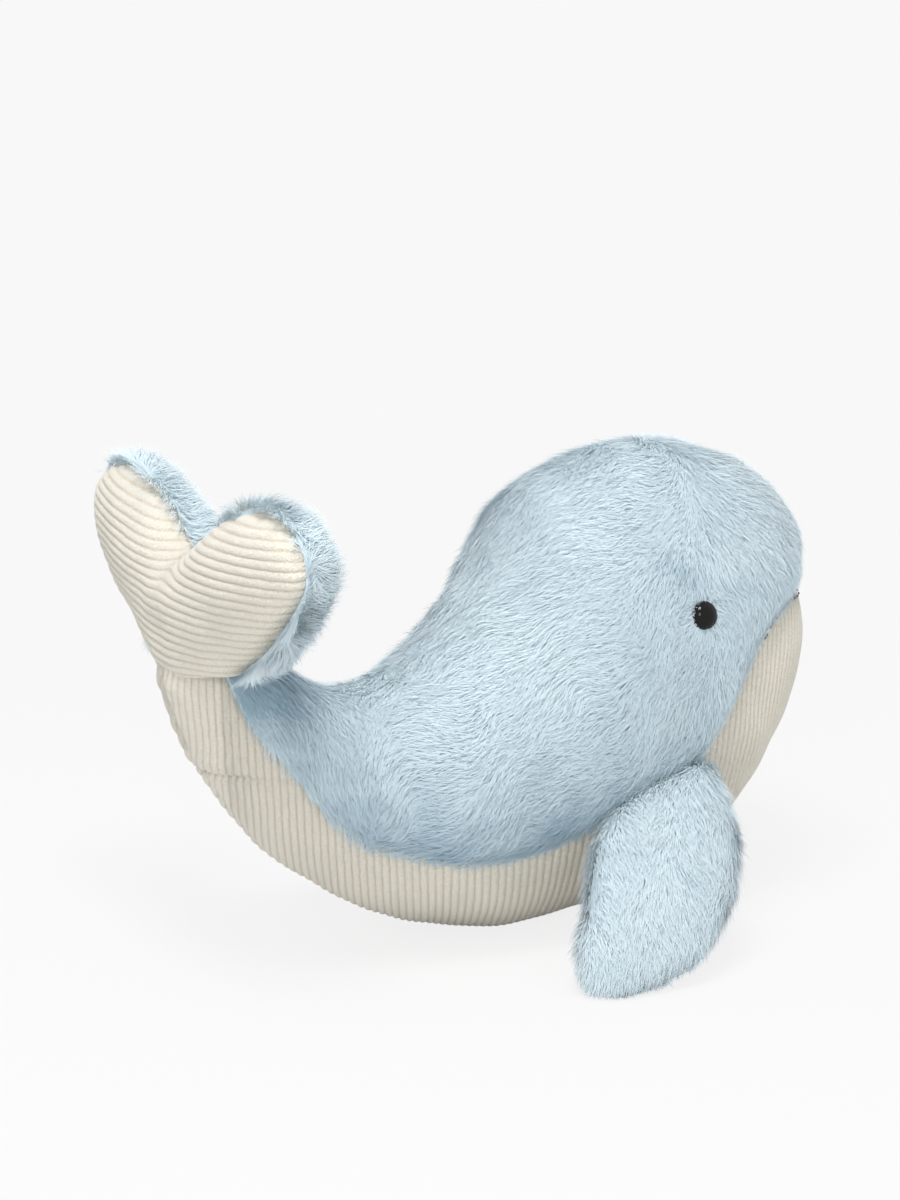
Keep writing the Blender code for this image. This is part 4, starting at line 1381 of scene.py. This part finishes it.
def make_world():
    """Even light from all round, with white paper behind for the camera and for reflections."""
    world = bpy.data.worlds.new("studio")
    bpy.context.scene.world = world
    world.use_nodes = True
    tree = world.node_tree
    light = tree.nodes["Background"]
    light.inputs[0].default_value = (0.97, 0.985, 1.0, 1)
    light.inputs[1].default_value = WORLD_LIGHT
    paper = add(tree, "ShaderNodeBackground", {0: PAPER, 1: 1.0}).outputs[0]
    rays = add(tree, "ShaderNodeLightPath").outputs
    seen = maths(tree, "MAXIMUM", rays["Is Camera Ray"], rays["Is Transmission Ray"])
    seen = maths(tree, "MAXIMUM", seen, rays["Is Glossy Ray"])
    blend = add(tree, "ShaderNodeMixShader", {0: seen, 1: light.outputs[0], 2: paper}).outputs[0]
    tree.links.new(blend, tree.nodes["World Output"].inputs["Surface"])


def make_lamp(name, direction, distance, size, power, colour):
    lamp = bpy.data.lights.new(name, "AREA")
    lamp.shape = "SQUARE"
    lamp.size = size
    lamp.energy = power
    lamp.color = colour
    thing = bpy.data.objects.new(name, lamp)
    direction = Vector(direction).normalized()
    thing.location = Vector(LAMP_AIM) + direction * distance
    thing.rotation_euler = direction.to_track_quat("Z", "Y").to_euler()
    bpy.context.scene.collection.objects.link(thing)


def make_camera():
    data = bpy.data.cameras.new("camera")
    data.lens = CAMERA_LENS
    data.sensor_width = SENSOR_WIDTH
    data.clip_start = 0.05
    data.clip_end = 50
    camera = bpy.data.objects.new("camera", data)
    camera.location = CAMERA_PLACE
    camera.rotation_euler = Vector(CAMERA_BACK).to_track_quat("Z", "Y").to_euler()
    bpy.context.scene.collection.objects.link(camera)
    bpy.context.scene.camera = camera


def make_studio():
    bpy.context.scene.view_settings.view_transform = "Standard"
    make_camera()
    make_world()
    make_floor()
    for lamp in LAMPS:
        make_lamp(*lamp)


# The toy


def fitted_forms(fluke_hinge):
    """The body and the fluke where the frame has them, and the tilt of the seam between them."""
    raw = body_form(np.eye(4))
    heart = (raw.point(FLUKE_SEAM_ROW, 0) + raw.point(FLUKE_SEAM_ROW, 1)) / 2
    body = body_form(place_matrix(*(fluke_hinge - heart)))
    tilt_line = body.point(FLUKE_SEAM_ROW, 0) - body.point(FLUKE_SEAM_ROW, 1)
    return body, fluke_form(fluke_hinge), math.atan2(tilt_line[2], tilt_line[0])


def add_fixed(piece, replaced):
    """A piece that moves with the body alone."""
    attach(piece, "body")
    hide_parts(replaced)


def add_skin(piece, replaced):
    """A skin over the body and a moving part, with its place baked into its mesh; the parts it replaces are
    hidden.
    """
    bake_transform(piece)
    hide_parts(*replaced)


def paint_washers(material):
    for side, _ in SIDES:
        slots = frame["nodes"][f"eye_washer_{side}"].data.materials
        slots.clear()
        slots.append(material)


def make_eyes(body, material):
    """Both eyes. Returns the places where they are set in."""
    seats = []
    for side, sign in SIDES:
        facing = body.normal(EYE_ROW, sign * EYE_SHARE)
        seat = body.point(EYE_ROW, sign * EYE_SHARE) + facing * (SEAM_GAP + FUR_THICKNESS - EYE_SINK)
        eye = new_piece(f"eye_dome_{side}", eye_mesh(f"eye_dome_{side}", seat, facing), material)
        add_fixed(eye, f"eye_{side}")
        seats.append(seat)
    return seats


def make_body_skins(body, ground, cord):
    """The knitted ground of the back and the corduroy of the belly."""
    rows, turns = body_grid(body, NOSE_START_ROW, TAIL_END_ROW, -1, 1)
    seams = body_seams(body, rows)
    skin = backing("back_fur_backing", body, rows, turns, seams, BODY_SWELL, ground, None, fur_folds)
    replaced = ("back_fur_right", "back_fur_left", "body_stuffing", "tail_stuffing")
    add_skin(skin, replaced)
    for side, sign in SIDES:
        panel = new_piece(f"belly_cord_{side}", belly_cord(body, side, sign), cord)
        add_skin(panel, [f"belly_corduroy_{side}"])


def make_fluke_skins(fluke, tilt, hinge, ground, cord):
    """The corduroy of the fluke's rear face and the knitted ground of its front face."""
    panel = new_piece("fluke_cord", fluke_cord(fluke, tilt, hinge), cord)
    add_skin(panel, ["fluke_corduroy"])
    skin = fluke_backing("fluke_fur_backing", fluke, tilt, hinge, ground)
    add_skin(skin, ("fluke_fur", "fluke_stuffing_right", "fluke_stuffing_left"))


def pile_grower(strand, material):
    """Returns a function that grows so many strands on a ground."""
    tree, sockets = pile_tree()
    thin, wide = ((1.0, 1.0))
    values = {
        "Strand": strand,
        "Material": material,
        "Length": PILE_LENGTH,
        "Width": PILE_WIDTH * wide,
        "Clump size": CLUMP_SIZE,
        "Clump pull": CLUMP_PULL,
        "Guard lift": GUARD_LIFT,
    }

    def grow(name, ground, wanted, seed):
        per_area = wanted * thin / area_of(ground)
        own_values = {**values, "Strands per square metre": per_area, "Seed": seed}
        piece = grow_pile(name, ground, tree, sockets, own_values)
        return piece

    return grow


def make_body_pile(body, eyes, grow):
    """The pile of the head and the back, in zones from the nose to the tail on each side."""
    rows = np.linspace(NOSE_START_ROW, FLUKE_SEAM_ROW, 60)
    seam = -body.seam(rows)
    seam_line = list(body.point(rows, seam) + 0.003 * body.normal(rows, seam))
    fields = {
        "comb": body_comb(eyes, seam_line),
        "pile": pile_length(eyes, seam_line),
        "keep": pile_keep(eyes),
        "lift": body_lift(seam_line),
        "tone": pile_tone_and_painted_shade,
    }
    for side, low_share, high_share, strands in (("right", 0, 1, 38000), ("left", -1, 0, 30000)):
        for number, (first, last) in enumerate(BACK_ZONES, 1):
            rows, turns = body_grid(body, first, last, low_share, high_share)
            seams = body_seams(body, rows)
            patch = backing("patch", body, rows, turns, seams, BODY_SWELL, None, fields, fur_folds)
            piece = grow(f"back_pile_{side}_{number}", patch, strands, 100 + number)
            if number == len(BACK_ZONES):
                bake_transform(piece)
            else:
                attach(piece, "body")


def make_fin(body, side, sign, seed, ground, cord, grow):
    """One fin: its corduroy, its knitted ground and its pile, all joined to the side."""
    fin = fin_form(body, sign)
    along = -sign * fin.place[:3, 1]
    panel = new_piece(f"fin_cord_{side}", fin_cord(fin, side), cord)
    add_skin(panel, [f"fin_{side}_corduroy"])
    rows, turns = np.broadcast_arrays(fin_rows(fin, 40)[:, None], np.linspace(0, 1, 34)[None, :])
    skin = backing(f"fin_fur_backing_{side}", fin, rows, turns, (0, 1), FIN_SWELL, ground)
    add_skin(skin, (f"fin_{side}_fur", f"fin_{side}_stuffing"))
    round_rim = turns * 1.09 - 0.045
    patch = backing("patch", fin, rows, round_rim, (0, 1), FIN_SWELL, None, fin_fields(fin, along))
    piece = grow(f"fin_pile_{side}", patch, FIN_STRANDS, seed)
    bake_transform(piece)


def make_toy():
    """Every piece of the toy, from the body outwards."""
    hinges = {joint["name"]: np.array(joint["pos_m"], float) for joint in frame["joints"]}
    fluke_hinge = hinges["fluke_flex"]
    body, fluke, tilt = fitted_forms(fluke_hinge)

    mottle = cloth_mottle_group()
    ground, cord = backing_material(mottle), cord_material(mottle)
    paint_washers(washer_material(mottle))
    eyes = make_eyes(body, eye_material())
    add_fixed(mouth_stitches(body, thread_material(mottle)), "mouth_thread")
    make_body_skins(body, ground, cord)
    make_fluke_skins(fluke, tilt, fluke_hinge, ground, cord)

    strand = new_piece("strand", strand_mesh(), None)
    grow = pile_grower(strand, strand_material())
    make_body_pile(body, eyes, grow)
    patch = fluke_backing("patch", fluke, tilt, fluke_hinge, None, FLUKE_FIELDS)
    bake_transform(grow("fluke_pile", patch, FLUKE_STRANDS, 110))
    for (side, sign), seed in zip(SIDES, (120, 121)):
        make_fin(body, side, sign, seed, ground, cord, grow)
    bpy.data.objects.remove(strand)


make_studio()
make_toy()
